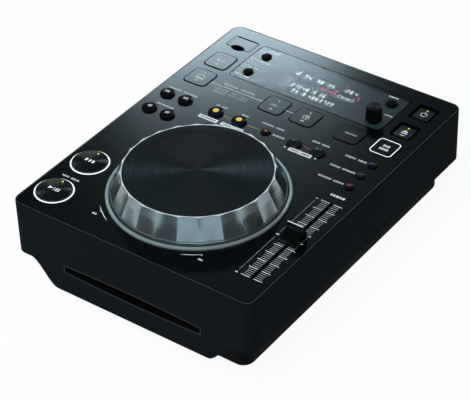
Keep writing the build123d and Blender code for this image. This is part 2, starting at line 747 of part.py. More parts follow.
def round_button(name, x, y, radius, rise, crown, under_z):
    """A turned cap with a crowned top, a lip that stops it under the panel, and a stem for its switch."""
    top_z = deck_z + rise
    edge_z = top_z - crown
    lip_top = under_z - seat_gap
    lip_bottom = lip_top - button_lip_thickness
    crown_edge = radius - button_softness
    crown_radius = (crown_edge ** 2 + crown ** 2) / (2 * crown)
    half_way_drop = crown_radius - math.sqrt(crown_radius ** 2 - crown_edge ** 2 / 4)
    bend = button_softness * (1 - math.sqrt(0.5))
    with BuildPart() as button:
        with BuildSketch(Plane(origin=(x, y, 0), x_dir=(1, 0, 0), z_dir=(0, -1, 0))):
            with BuildLine():
                Polyline((0, top_z), (0, stem_bottom_z), (button_stem_radius, stem_bottom_z),
                         (button_stem_radius, lip_bottom), (radius + button_lip, lip_bottom),
                         (radius + button_lip, lip_top), (radius, lip_top),
                         (radius, edge_z - button_softness))
                ThreePointArc((radius, edge_z - button_softness), (radius - bend, edge_z - bend),
                              (crown_edge, edge_z))
                ThreePointArc((crown_edge, edge_z), (crown_edge / 2, top_z - half_way_drop), (0, top_z))
            make_face()
        revolve(axis=Axis((x, y, 0), (0, 0, 1)))
    button.part.label = name
    export_step(button.part, f"parts/{name}.step")


def square_button(name, x, y, width, depth, corner, top_z, under_z):
    """A square cap with rounded corners and a softened top edge, a lip under the panel, and a stem."""
    lip_top = under_z - seat_gap
    with BuildPart() as button:
        rounded_block(x, y, lip_top, width, depth, top_z - lip_top, corner)
        fillet(button.edges().group_by(Axis.Z)[-1], 0.6)
        rounded_block(x, y, lip_top - button_lip_thickness, width + 2 * button_lip, depth + 2 * button_lip,
                      button_lip_thickness, corner + button_lip)
        post([(x, y)], stem_bottom_z, button_stem_radius, lip_top - stem_bottom_z)
    button.part.label = name
    export_step(button.part, f"parts/{name}.step")


for name, x, y, radius, rise, crown in round_buttons:
    round_button(name, x, y, radius, rise, crown, under_deck_z)
for name, x, y in window_buttons:
    round_button(name, x, y, window_button_radius, window_button_rise, 0.4, window_underside_z)
for name, x, y in square_buttons:
    square_button(name, x, y, media_button_width, media_button_depth, media_button_corner,
                  deck_z + media_button_rise, under_deck_z)
for name, y in well_buttons:
    square_button(name, well_x, y, well_button_width, well_button_depth, 2.0, deck_z - well_button_drop,
                  deck_z - well_sink - well_wall)

# ================================================================ selector knob
foot_z = deck_z + knob_travel + seat_gap
encoder_top_z = board_top_z + encoder_height
shaft_end_z = encoder_top_z - knob_shaft_sink
with BuildPart() as selector_knob:
    turned(knob_x, knob_y, [(0, shaft_end_z), (knob_shaft_radius - running_gap, shaft_end_z),
                            (knob_shaft_radius - running_gap, foot_z), (knob_foot_radius, foot_z),
                            (knob_foot_radius, foot_z + 1.2), (knob_radius + 0.4, foot_z + 1.8),
                            (knob_radius, deck_z + knob_height - 0.6),
                            (knob_radius - 0.6, deck_z + knob_height), (0, deck_z + knob_height)])
    with BuildSketch(Plane.XY.offset(foot_z + 1.8)):
        with Locations((knob_x, knob_y)):
            with PolarLocations(knob_radius + 0.4, knob_ribs):
                Circle(knob_rib_depth)
    extrude(amount=knob_height, mode=Mode.SUBTRACT)
selector_knob.part.label = "selector_knob"
export_step(selector_knob.part, "parts/selector_knob.step")

with BuildPart() as selector_encoder:
    plain_block(knob_x, knob_y, board_top_z, encoder_size, encoder_size, encoder_height)
    post([(knob_x, knob_y)], encoder_top_z, knob_shaft_radius + 1.4, window_underside_z - 1 - encoder_top_z)
    post([(knob_x, knob_y)], shaft_end_z - seat_gap, knob_shaft_radius, 2 * board_drop, mode=Mode.SUBTRACT)
selector_encoder.part.label = "selector_encoder"
export_step(selector_encoder.part, "parts/selector_encoder.step")

# ================================================================ jog wheel
with BuildPart() as jog_bezel:
    sleeve_radius = jog_hole_radius - part_line
    turned(jog_x, jog_y, [(bezel_inner_radius, under_deck_z), (sleeve_radius, under_deck_z),
                          (sleeve_radius, deck_z), (jog_bezel_radius, deck_z),
                          (jog_bezel_radius, deck_z + bezel_height - 0.8),
                          (jog_bezel_radius - 0.7, deck_z + bezel_height),
                          (bezel_inner_radius + 0.7, deck_z + bezel_height),
                          (bezel_inner_radius, deck_z + bezel_height - 0.7)])
jog_bezel.part.label = "jog_bezel"
export_step(jog_bezel.part, "parts/jog_bezel.step")

# Jog base: a dish under the deck with the bearing's seat in its middle.
base_floor_z = under_deck_z - jog_base_depth
base_outer_radius = jog_hole_radius - 1
jog_flange_radius = jog_hole_radius + jog_base_flange
bearing_bottom_z = bearing_top_z - bearing_width
with BuildPart() as jog_base:
    turned(jog_x, jog_y, [(bearing_radius - 2, bearing_bottom_z - 1.5),
                          (bearing_radius + 3, bearing_bottom_z - 1.5),
                          (bearing_radius + 3, base_floor_z), (base_outer_radius, base_floor_z),
                          (base_outer_radius, under_deck_z - jog_base_wall),
                          (jog_flange_radius, under_deck_z - jog_base_wall),
                          (jog_flange_radius, under_deck_z),
                          (base_outer_radius - jog_base_wall, under_deck_z),
                          (base_outer_radius - jog_base_wall, base_floor_z + jog_base_wall),
                          (bearing_radius + press_gap, base_floor_z + jog_base_wall),
                          (bearing_radius + press_gap, bearing_bottom_z),
                          (bearing_radius - 2, bearing_bottom_z)])
jog_base.part.label = "jog_base"
export_step(jog_base.part, "parts/jog_base.step")

with BuildPart() as jog_bearing:
    turned(jog_x, jog_y, [(bearing_bore, bearing_bottom_z), (bearing_radius, bearing_bottom_z),
                          (bearing_radius, bearing_top_z), (bearing_bore, bearing_top_z)])
jog_bearing.part.label = "jog_bearing"
export_step(jog_bearing.part, "parts/jog_bearing.step")

# Jog ring: a hollow moulding with a skirt of scooped flutes, a web for the plate, and a boss.
rim_z = deck_z + jog_rim_height
web_z = rim_z - jog_plate_sink - jog_plate_thickness
plate_radius = jog_rim_radius - jog_rim_land
lean = math.radians(jog_skirt_lean)
skirt_foot_z = deck_z + jog_skirt_foot
skirt_foot_radius = jog_rim_radius + (rim_z - skirt_foot_z) * math.tan(lean)
flare_z = deck_z + jog_flange_height
flare_bend = skirt_foot_radius + jog_flare_place * (jog_foot_radius - skirt_foot_radius)
shaft_top_z = bearing_top_z + seat_gap
shaft_bottom_z = bearing_bottom_z - 1.0
spindle_radius = bearing_bore - running_gap
with BuildPart() as jog_ring:
    with BuildSketch(Plane(origin=(jog_x, jog_y, 0), x_dir=(1, 0, 0), z_dir=(0, -1, 0))):
        with BuildLine():
            Polyline((0, shaft_bottom_z), (0, web_z), (plate_radius, web_z), (plate_radius, rim_z),
                     (jog_rim_radius, rim_z), (skirt_foot_radius, skirt_foot_z))
            ThreePointArc((skirt_foot_radius, skirt_foot_z), (flare_bend, deck_z + jog_flare_height),
                          (jog_foot_radius, flare_z))
            Polyline((jog_foot_radius, flare_z), (jog_foot_radius, deck_z + jog_lift),
                     (jog_foot_radius - jog_skirt_wall, deck_z + jog_lift),
                     (skirt_foot_radius - jog_skirt_wall, skirt_foot_z - 1.5),
                     (plate_radius - 0.5, web_z - 2),
                     (jog_boss_radius, web_z - 2), (jog_boss_radius, shaft_top_z),
                     (spindle_radius, shaft_top_z), (spindle_radius, shaft_bottom_z), (0, shaft_bottom_z))
        make_face()
    revolve(axis=Axis((jog_x, jog_y, 0), (0, 0, 1)))
    half_pitch = math.pi / jog_flutes
    half_chord = jog_rim_radius * math.sin(half_pitch)
    flute_sag = jog_flute_radius - math.sqrt(jog_flute_radius ** 2 - half_chord ** 2)
    flute_axis = jog_rim_radius * math.cos(half_pitch) - flute_sag + jog_flute_radius
    flute_length = 60.0
    flute_bottom_z = deck_z + jog_flute_foot + jog_flute_radius * math.sin(lean)
    flute_middle_z = flute_bottom_z + flute_length / 2 * math.cos(lean)
    flute_middle_radius = flute_axis + (rim_z - flute_middle_z) * math.tan(lean)
    cutter = Cylinder(jog_flute_radius, flute_length, mode=Mode.PRIVATE)
    flute = Location((flute_middle_radius, 0, flute_middle_z), (0, -jog_skirt_lean, 0)) * cutter
    for step in range(jog_flutes):
        turn = Location((jog_x, jog_y, 0), (0, 0, step * 360 / jog_flutes))
        add(turn * flute, mode=Mode.SUBTRACT)
jog_ring.part.label = "jog_ring"
export_step(jog_ring.part, "parts/jog_ring.step")

with BuildPart() as jog_plate:
    post([(jog_x, jog_y)], web_z, plate_radius - part_line, jog_plate_thickness)
    chamfer(jog_plate.edges().group_by(Axis.Z)[-1], 0.3)
jog_plate.part.label = "jog_plate"
export_step(jog_plate.part, "parts/jog_plate.step")

# ================================================================ tempo fader
fader_body_length = fader_slot_length + 2 * 7
fader_bottom_z = under_deck_z - fader_body_height
shoe_height = fader_body_height - 2 * fader_wall - 2 * seat_gap
shoe_length = lever_length + 3
with BuildPart() as fader_body:
    plain_block(tempo_x, fader_y, fader_bottom_z, fader_body_width, fader_body_length, fader_body_height)
    plain_block(tempo_x, fader_y, fader_bottom_z + fader_wall, lever_shoe + 2 * seat_gap,
                2 * fader_travel + shoe_length + 1, fader_body_height - 2 * fader_wall, mode=Mode.SUBTRACT)
    plain_block(tempo_x, fader_y, under_deck_z - 2 * fader_wall, fader_slot_width, fader_slot_length,
                2 * fader_wall, mode=Mode.SUBTRACT)
fader_body.part.label = "fader_body"
export_step(fader_body.part, "parts/fader_body.step")

stem_top_z = deck_z + cap_lift + 4.0
with BuildPart() as fader_lever:
    plain_block(tempo_x, fader_y, fader_bottom_z + fader_wall + seat_gap, lever_shoe, shoe_length,
                shoe_height)
    plain_block(tempo_x, fader_y, under_deck_z - fader_wall - seat_gap, lever_width, lever_length,
                stem_top_z - under_deck_z + fader_wall + seat_gap)
fader_lever.part.label = "fader_lever"
export_step(fader_lever.part, "parts/fader_lever.step")

# Fader cap: a high ridge at the rear, and a hollow that falls away to a low front lip for the finger.
with BuildPart() as fader_cap:
    with BuildSketch(Plane.YZ.offset(tempo_x - cap_width / 2)):
        with BuildLine():
            cap_bottom = deck_z + cap_lift
            ridge_z = deck_z + cap_height
            rear_foot = fader_y + cap_length / 2
            front_foot = fader_y - cap_length / 2
            Polyline((front_foot, cap_bottom + 2.4), (front_foot, cap_bottom), (rear_foot, cap_bottom),
                     (rear_foot, cap_bottom + 2.5), (rear_foot - 3.2, ridge_z), (rear_foot - 5.8, ridge_z))
            ThreePointArc((rear_foot - 5.8, ridge_z), (rear_foot - 8.6, cap_bottom + 5.4),
                          (front_foot, cap_bottom + 2.4))
        make_face()
    extrude(amount=cap_width)
    plain_block(tempo_x, fader_y, cap_bottom, lever_width + 2 * press_gap, lever_length + 2 * press_gap,
                stem_top_z + press_gap - cap_bottom, mode=Mode.SUBTRACT)
    ridge = fader_cap.faces().filter_by(Axis.Z).sort_by(Axis.Z)[-1]
    fillet(ridge.edges().filter_by(Axis.X), 0.6)
fader_cap.part.label = "fader_cap"
export_step(fader_cap.part, "parts/fader_cap.step")

# ================================================================ control board
board_edge = case_wall + 2.25
board_left = left_x + board_edge
board_right = right_x - board_edge
board_rear = rear_y - board_edge
board_front = jog_y + jog_flange_radius + 1
left_leg_right = jog_x - jog_flange_radius - 1
right_leg_left = jog_x + jog_flange_radius + 1
right_leg_front = fader_y + fader_body_length / 2 + 2

# Control board: a U-shaped board under the deck with the screen and a switch under every button.
with BuildPart() as control_board:
    board_bottom_z = board_top_z - board_thickness
    plain_block((board_left + board_right) / 2, (board_front + board_rear) / 2, board_bottom_z,
                board_right - board_left, board_rear - board_front, board_thickness)
    plain_block((board_left + left_leg_right) / 2, (front_y + board_edge + board_front) / 2, board_bottom_z,
                left_leg_right - board_left, board_front - front_y - board_edge, board_thickness)
    plain_block((right_leg_left + board_right) / 2, (right_leg_front + board_front) / 2, board_bottom_z,
                board_right - right_leg_left, board_front - right_leg_front, board_thickness)
    plain_block(usb_x, usb_y, board_bottom_z, usb_socket_width + 2 * part_line,
                usb_socket_depth + 2 * part_line, board_thickness, mode=Mode.SUBTRACT)
    with BuildSketch(Plane.XY.offset(board_top_z)):
        with Locations(*through_deck, *through_window, *in_wells):
            Rectangle(switch_size, switch_size)
    extrude(amount=switch_height)
    post(through_deck + through_window + in_wells, board_top_z + switch_height, plunger_radius, 1.0)
    plain_block(display_x + 2, display_y, board_top_z, screen_width, screen_depth,
                window_underside_z - screen_gap - board_top_z)
control_board.part.label = "control_board"
export_step(control_board.part, "parts/control_board.step")

# ================================================================ disc drive
lift_posts = [(jog_x + side * lift_post_offset, y) for side in (-1, 1)
              for y in (spindle_y - lift_post_front, spindle_y + lift_post_rear)]
sled_y = spindle_y + sled_inner_radius
rod_front_y = sled_y - sled_depth / 2 - 1 - rod_block
rod_rear_y = sled_y + sled_travel + sled_depth / 2 + 1 + rod_block
traverse_front_y = spindle_y - traverse_front_room
traverse_rear_y = rod_rear_y + traverse_rim
traverse_y = (traverse_front_y + traverse_rear_y) / 2
traverse_depth = traverse_rear_y - traverse_front_y
drive_floor_underside = drive_floor_z - drive_floor_thickness
drive_inner_half = drive_half_width - drive_wall
roller_z = slot_z - disc_gap - 0.1 - roller_radius
cross_plane = Plane.YZ.offset(jog_x)

# Drive frame: an open box with a floor half way up. The disc runs above the floor.
with BuildPart() as drive_frame:
    frame_height = drive_cover_z - drive_bottom_z
    plain_block(jog_x, drive_y, drive_bottom_z, 2 * drive_half_width, drive_depth, frame_height)
    plain_block(jog_x, drive_y, drive_bottom_z, 2 * drive_inner_half, drive_depth - 2 * drive_wall,
                drive_floor_underside - drive_bottom_z, mode=Mode.SUBTRACT)
    plain_block(jog_x, drive_y, drive_floor_z, 2 * drive_inner_half, drive_depth - 2 * drive_wall,
                frame_height, mode=Mode.SUBTRACT)
    plain_block(jog_x, traverse_y, drive_floor_underside, 2 * (traverse_half_width + traverse_side_room),
                traverse_depth + traverse_end_room, drive_floor_thickness, mode=Mode.SUBTRACT)
    plain_block(jog_x, roller_y, drive_floor_underside, 2 * roller_half_length + 3, 2 * roller_radius + 3,
                drive_floor_thickness, mode=Mode.SUBTRACT)
    plain_block(jog_x, drive_front_y, drive_floor_z, slot_width, 4 * drive_wall, 2 * disc_gap + 1.2,
                mode=Mode.SUBTRACT)
    for x, y in drive_lugs:
        plain_block(x, y, drive_bottom_z, drive_lug, drive_lug, drive_wall)
    post(lift_posts, traverse_z - seat_gap, lift_post_radius, drive_floor_underside - traverse_z + seat_gap)
    post(lift_posts, traverse_z - seat_gap - 2, lift_post_radius + 2, 2)
    with BuildSketch(cross_plane):
        with Locations((roller_y, roller_z)):
            Circle(shaft_radius + running_gap)
    extrude(amount=drive_half_width + 1, both=True, mode=Mode.SUBTRACT)
drive_frame.part.label = "drive_frame"
export_step(drive_frame.part, "parts/drive_frame.step")

# Drive cover: a lid with two stiffening ribs and a hole in which the clamp hangs.
with BuildPart() as drive_cover:
    plain_block(jog_x, drive_y, drive_cover_z, 2 * drive_half_width, drive_depth, drive_cover_thickness)
    post([(jog_x, spindle_y)], drive_cover_z, clamp_neck_radius + 1, drive_cover_thickness,
         mode=Mode.SUBTRACT)
    with BuildSketch(Plane.XY.offset(drive_cover_z + drive_cover_thickness)):
        with Locations(*[(jog_x + side * rib_spread, drive_rear_y - rib_inset) for side in (-1, 1)]):
            SlotOverall(rib_length, rib_width, rotation=90)
    extrude(amount=rib_height)
drive_cover.part.label = "drive_cover"
export_step(drive_cover.part, "parts/drive_cover.step")

# Disc clamp: a puck that hangs in the cover by its upper flange and turns with the disc.
clamp_bottom_z = slot_z + disc_gap + 0.1
clamp_pad_z = clamp_bottom_z + clamp_pad_height
clamp_flange_z = drive_cover_z + drive_cover_thickness + seat_gap
clamp_flange_radius = clamp_neck_radius + clamp_flange_reach
clamp_top_z = clamp_flange_z + clamp_flange_thickness
with BuildPart() as disc_clamp:
    turned(jog_x, spindle_y, [(0, clamp_bottom_z + 1.2), (hub_nose_radius + 0.6, clamp_bottom_z + 1.2),
                              (hub_nose_radius + 1.0, clamp_bottom_z), (clamp_radius, clamp_bottom_z),
                              (clamp_radius, clamp_pad_z), (clamp_neck_radius, clamp_pad_z),
                              (clamp_neck_radius, clamp_flange_z), (clamp_flange_radius, clamp_flange_z),
                              (clamp_flange_radius, clamp_top_z), (0, clamp_top_z)])
disc_clamp.part.label = "disc_clamp"
export_step(disc_clamp.part, "parts/disc_clamp.step")

# Loading roller: a rubber roller waisted in the middle, with a shaft out of each end.
with BuildPart() as loading_roller:
    with BuildSketch(Plane(origin=(jog_x, roller_y, roller_z))):
        with BuildLine():
            waist = ThreePointArc((-roller_half_length, roller_radius), (0, roller_radius - roller_waist),
                                  (roller_half_length, roller_radius))
            Polyline(waist @ 1, (roller_half_length, 0), (-roller_half_length, 0), waist @ 0)
        make_face()
    revolve(axis=Axis((jog_x, roller_y, roller_z), (1, 0, 0)))
    with BuildSketch(cross_plane.offset(-drive_half_width)):
        with Locations((roller_y, roller_z)):
            Circle(shaft_radius)
    extrude(amount=2 * drive_half_width + motor_bore_depth - 1)
loading_roller.part.label = "loading_roller"
export_step(loading_roller.part, "parts/loading_roller.step")

# Loading motor: a geared motor on the side of the drive, in line with the roller.
with BuildPart() as loading_motor:
    with BuildSketch(cross_plane.offset(drive_half_width)):
        with Locations((roller_y, roller_z)):
            Circle(loading_motor_radius)
    extrude(amount=tub_half_width - tub_wall - loading_motor_room - jog_x - drive_half_width)
    with BuildSketch(cross_plane.offset(drive_half_width)):
        with Locations((roller_y, roller_z)):
            Circle(shaft_radius + running_gap)
    extrude(amount=motor_bore_depth, mode=Mode.SUBTRACT)
loading_motor.part.label = "loading_motor"
export_step(loading_motor.part, "parts/loading_motor.step")

# ================================================================ traverse
traverse_top_z = traverse_z + traverse_thickness
rod_z = traverse_top_z + rod_lift
sled_bottom_z = traverse_top_z + sled_lift
sled_top_z = slot_z - feed_lift - disc_gap - 0.2
sled_height = sled_top_z - sled_bottom_z
rod_offsets = (-rod_spread, rod_spread)
pinion_pitch_radius = gear_module * pinion_teeth / 2
rack_x = jog_x + sled_half_width + rack_back + rack_dedendum
pinion_x = rack_x + pinion_pitch_radius
pinion_y = sled_y + 8.0
gear_z = sled_bottom_z + 0.2
motor_places = [(jog_x, spindle_y), (pinion_x, pinion_y)]
rod_plane = Plane(origin=(jog_x, rod_front_y, rod_z), x_dir=(1, 0, 0), z_dir=(0, -1, 0))

# Traverse plate: carries the spindle, the pickup's rods and both motors, and slides up its posts.
with BuildPart() as traverse_plate:
    plain_block(jog_x, traverse_y, traverse_z, 2 * traverse_half_width, traverse_depth, traverse_thickness)
    for x, y in lift_posts:
        plain_block(x, y, traverse_z, 2 * (lift_post_offset - traverse_half_width + lift_ear_rim),
                    2 * (lift_post_radius + lift_ear_rim), traverse_thickness)
    for x in rod_offsets:
        for y in (rod_front_y + rod_block / 2, rod_rear_y - rod_block / 2):
            plain_block(jog_x + x, y, traverse_top_z, 4 * rod_radius, rod_block,
                        rod_z + rod_radius + sled_lift - traverse_top_z)
    post(lift_posts, traverse_z, lift_post_radius + 0.3, traverse_thickness, mode=Mode.SUBTRACT)
    post(motor_places, traverse_z, hub_neck_radius + 1, traverse_thickness, mode=Mode.SUBTRACT)
    with BuildSketch(rod_plane):
        with Locations(*[(x, 0) for x in rod_offsets]):
            Circle(rod_radius + press_gap)
    extrude(amount=-(rod_rear_y - rod_front_y), mode=Mode.SUBTRACT)
traverse_plate.part.label = "traverse_plate"
export_step(traverse_plate.part, "parts/traverse_plate.step")

with BuildPart() as guide_rods:
    with BuildSketch(rod_plane):
        with Locations(*[(x, 0) for x in rod_offsets]):
            Circle(rod_radius)
    extrude(amount=-(rod_rear_y - rod_front_y))
guide_rods.part.label = "guide_rods"
export_step(guide_rods.part, "parts/guide_rods.step")

# Traverse motors: two alike, one under the spindle and one under the feed gear.
with BuildPart() as traverse_motors:
    post(motor_places, traverse_z - motor_height, motor_radius, motor_height)
    post(motor_places, traverse_z - motor_shaft_depth, motor_shaft_radius + running_gap, motor_shaft_depth,
         mode=Mode.SUBTRACT)
traverse_motors.part.label = "traverse_motors"
export_step(traverse_motors.part, "parts/traverse_motors.step")

# Spindle hub: the turntable with its centring nose, on the motor's shaft.
nose_z = slot_z - disc_gap - 0.1
table_z = nose_z - 2.0
with BuildPart() as spindle_hub:
    turned(jog_x, spindle_y, [(0, traverse_z - motor_shaft_depth + 1),
                              (motor_shaft_radius, traverse_z - motor_shaft_depth + 1),
                              (motor_shaft_radius, traverse_z + seat_gap),
                              (hub_neck_radius, traverse_z + seat_gap),
                              (hub_neck_radius, table_z - 2), (hub_table_radius, table_z - 2),
                              (hub_table_radius, table_z), (hub_nose_radius, table_z),
                              (hub_nose_radius, table_z + 1.2), (hub_nose_radius - 1, nose_z), (0, nose_z)])
spindle_hub.part.label = "spindle_hub"
export_step(spindle_hub.part, "parts/spindle_hub.step")

# Pickup sled: a block bored for both rods, with the lens on top and the feed rack along one side.
tooth_pitch = math.pi * gear_module
flank = math.tan(math.radians(pressure_angle))
root_half = tooth_pitch / 4 - tooth_play + rack_dedendum * flank
tip_half = tooth_pitch / 4 - tooth_play - rack_addendum * flank
with BuildPart() as pickup_sled:
    plain_block(jog_x, sled_y, sled_bottom_z, 2 * sled_half_width, sled_depth, sled_height)
    post([(jog_x, sled_y)], sled_top_z, lens_radius, lens_height)
    plain_block(jog_x + sled_half_width + rack_back / 2, sled_y + (sled_depth - rack_length) / 2, gear_z,
                rack_back, rack_length, rack_height)
    rack_rear_teeth = 2
    rack_front_teeth = int((rack_length - sled_depth / 2 + pinion_y - sled_y) / tooth_pitch)
    with BuildSketch(Plane.XY.offset(gear_z)):
        for step in range(-rack_front_teeth, rack_rear_teeth):
            middle = pinion_y + step * tooth_pitch
            with BuildLine():
                Polyline((rack_x - rack_dedendum, middle - root_half),
                         (rack_x + rack_addendum, middle - tip_half),
                         (rack_x + rack_addendum, middle + tip_half),
                         (rack_x - rack_dedendum, middle + root_half), close=True)
            make_face()
    extrude(amount=rack_height)
    with BuildSketch(rod_plane):
        with Locations(*[(x, 0) for x in rod_offsets]):
            Circle(rod_radius + running_gap)
    extrude(amount=-(rod_rear_y - rod_front_y), mode=Mode.SUBTRACT)
pickup_sled.part.label = "pickup_sled"
export_step(pickup_sled.part, "parts/pickup_sled.step")


# Feed gear: a pinion with involute teeth on the feed motor's shaft.
def involute_tooth_half_angle(radius):
    """Half the angle that a tooth fills at a radius: less than at the pitch circle as it rises."""
    base_radius = pinion_pitch_radius * math.cos(math.radians(pressure_angle))
    pitch_angle = math.radians(pressure_angle)
    angle = math.acos(min(1.0, base_radius / radius))
    at_pitch = math.pi / (2 * pinion_teeth) - tooth_play / pinion_pitch_radius
    return at_pitch + (math.tan(pitch_angle) - pitch_angle) - (math.tan(angle) - angle)


with BuildPart() as feed_gear:
    root_radius = pinion_pitch_radius - 1.2 * gear_module
    tip_radius = pinion_pitch_radius + 0.9 * gear_module
    post([(pinion_x, pinion_y)], gear_z, root_radius, rack_height)
    post([(pinion_x, pinion_y)], traverse_z - motor_shaft_depth + 1, motor_shaft_radius,
         gear_z - traverse_z + motor_shaft_depth)
    flank_steps = 4
    flank_radii = [root_radius - 0.2 + (tip_radius - root_radius + 0.2) * step / flank_steps
                   for step in range(flank_steps + 1)]
    flank_points = [(radius, involute_tooth_half_angle(radius)) for radius in flank_radii]
    with BuildSketch(Plane.XY.offset(gear_z)):
        for tooth in range(pinion_teeth):
            middle = (tooth + 0.5) * 2 * math.pi / pinion_teeth + math.pi
            turns = [(radius, middle + half) for radius, half in flank_points]
            turns += [(radius, middle - half) for radius, half in reversed(flank_points)]
            with BuildLine():
                Polyline(*[(pinion_x + radius * math.cos(turn), pinion_y + radius * math.sin(turn))
                           for radius, turn in turns], close=True)
            make_face()
    extrude(amount=rack_height)
feed_gear.part.label = "feed_gear"
export_step(feed_gear.part, "parts/feed_gear.step")

# ================================================================ lower boards and rear sockets
chips_z = low_board_z + board_thickness
with BuildPart() as main_board:
    board_middle_x = (main_board_left + main_board_right) / 2
    memory_x = board_middle_x + processor_size / 2 + memory_size
    memory_rows = [(memory_x, boards_y + side * memory_size) for side in (-1, 1)]
    plain_block(board_middle_x, boards_y, low_board_z, main_board_right - main_board_left, boards_depth,
                board_thickness)
    plain_block(board_middle_x, boards_y, chips_z, processor_size, processor_size, chip_height)
    for x, y in memory_rows:
        plain_block(x, y, chips_z, memory_size, memory_size * 1.5, chip_height)
    plain_block(board_middle_x, boards_front + connector_width / 2, chips_z, connector_width, connector_depth,
                connector_height)
    post([(board_middle_x - processor_size - step * 2.5 * filter_radius, boards_y) for step in range(3)],
         chips_z, filter_radius, 3 * filter_radius)
main_board.part.label = "main_board"
export_step(main_board.part, "parts/main_board.step")

# Power supply: its own board with a transformer, an upright heat sink and two large capacitors.
with BuildPart() as power_supply:
    supply_middle_x = (supply_left + supply_right) / 2
    transformer_y = boards_front + transformer_depth
    plain_block(supply_middle_x, boards_y, low_board_z, supply_right - supply_left, boards_depth,
                board_thickness)
    rounded_block(supply_left + transformer_width * 0.75, transformer_y, chips_z, transformer_width,
                  transformer_depth, transformer_height, 2)
    plain_block(supply_right - heat_sink_thickness * 1.5, transformer_y, chips_z, heat_sink_thickness,
                transformer_depth * 1.4, transformer_height + 2)
    post([(supply_middle_x + side * 1.5 * reservoir_radius, transformer_y + transformer_depth * 1.1)
          for side in (-1, 1)], chips_z, reservoir_radius, 3 * reservoir_radius)
power_supply.part.label = "power_supply"
export_step(power_supply.part, "parts/power_supply.step")

# Phono jacks: flanged barrels through the rear wall, on blocks that stand on the main board.
with BuildPart() as phono_jacks:
    for x, z in jack_places:
        plain_block(-x, tub_rear_y - tub_wall - jack_flange_radius, chips_z, 2 * jack_flange_radius,
                    2 * jack_flange_radius, z + jack_flange_radius - chips_z)
    for radius, start, reach in ((jack_flange_radius, 0, flange_thickness),
                                 (jack_radius, -tub_wall, jack_reach)):
        with BuildSketch(rear_plane.offset(start)):
            with Locations(*jack_places):
                Circle(radius)
        extrude(amount=reach - start)
    with BuildSketch(rear_plane.offset(jack_reach)):
        with Locations(*jack_places):
            Circle(jack_hole_radius)
    extrude(amount=-jack_hole_depth, mode=Mode.SUBTRACT)
phono_jacks.part.label = "phono_jacks"
export_step(phono_jacks.part, "parts/phono_jacks.step")

# Mains inlet: a flanged socket with two pins in a figure-of-eight well.
with BuildPart() as mains_inlet:
    with BuildSketch(rear_plane):
        with Locations((inlet_x, socket_row_z)):
            RectangleRounded(inlet_width, inlet_height, 2)
    extrude(amount=flange_thickness)
    with BuildSketch(rear_plane):
        with Locations((inlet_x, socket_row_z)):
            Rectangle(inlet_body_width, inlet_body_height)
    extrude(amount=-inlet_depth)
    with BuildSketch(rear_plane.offset(flange_thickness)):
        with Locations((inlet_x, socket_row_z)):
            SlotOverall(inlet_well_width, inlet_well_height)
    extrude(amount=-inlet_depth, mode=Mode.SUBTRACT)
    with BuildSketch(rear_plane.offset(flange_thickness - inlet_depth)):
        with Locations(*[(inlet_x + side * inlet_pin_spread, socket_row_z) for side in (-1, 1)]):
            Circle(inlet_pin_radius)
    extrude(amount=inlet_depth - 3)
mains_inlet.part.label = "mains_inlet"
export_step(mains_inlet.part, "parts/mains_inlet.step")
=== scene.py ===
import math

import bmesh
import bpy
import numpy as np
from mathutils import Matrix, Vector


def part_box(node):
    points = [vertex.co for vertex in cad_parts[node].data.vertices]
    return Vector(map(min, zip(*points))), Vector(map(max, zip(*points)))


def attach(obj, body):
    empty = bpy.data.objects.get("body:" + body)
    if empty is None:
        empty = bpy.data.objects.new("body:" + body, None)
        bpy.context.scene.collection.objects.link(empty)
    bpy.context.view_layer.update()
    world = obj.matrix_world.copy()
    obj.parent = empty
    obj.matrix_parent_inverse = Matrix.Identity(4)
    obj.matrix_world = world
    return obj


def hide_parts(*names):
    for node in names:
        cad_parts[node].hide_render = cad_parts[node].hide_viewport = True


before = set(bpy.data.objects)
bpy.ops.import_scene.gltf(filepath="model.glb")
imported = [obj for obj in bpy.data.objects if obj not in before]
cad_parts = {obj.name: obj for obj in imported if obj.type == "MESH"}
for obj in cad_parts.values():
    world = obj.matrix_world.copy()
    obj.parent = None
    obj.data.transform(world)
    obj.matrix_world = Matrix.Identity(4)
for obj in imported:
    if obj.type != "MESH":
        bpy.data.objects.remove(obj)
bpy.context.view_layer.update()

# ---------------------------------------------------------------- studio
# A plain pale floor in a dim room. Two softboxes behind the player give the deck its sheen and
# streak the turned discs, a card in front brightens the flutes, and two lamps that no gloss shows
# fill the rest. The camera has a long lens and looks down from the front right corner.
reach = 4.0
floor_mesh = bpy.data.meshes.new("floor")
floor_mesh.from_pydata([(-reach, -reach, 0), (reach, -reach, 0), (reach, reach, 0), (-reach, reach, 0)], [],
                       [(0, 1, 2, 3)])
floor = bpy.data.objects.new("floor", floor_mesh)
bpy.context.scene.collection.objects.link(floor)


def wired(tree, kind, feeds=None, **settings):
    """A new shader node's outputs: settings are its own choices, a feed is a value or an output for a socket."""
    made = tree.nodes.new(kind)
    for name, setting in settings.items():
        setattr(made, name, setting)
    for socket, feed in (feeds or {}).items():
        if isinstance(feed, bpy.types.NodeSocket):
            tree.links.new(feed, made.inputs[socket])
        else:
            made.inputs[socket].default_value = feed
    return made.outputs


def reckoned(tree, operation, *feeds):
    """What a Math node makes of the feeds, taken in turn."""
    return wired(tree, "ShaderNodeMath", dict(enumerate(feeds)), operation=operation)[0]


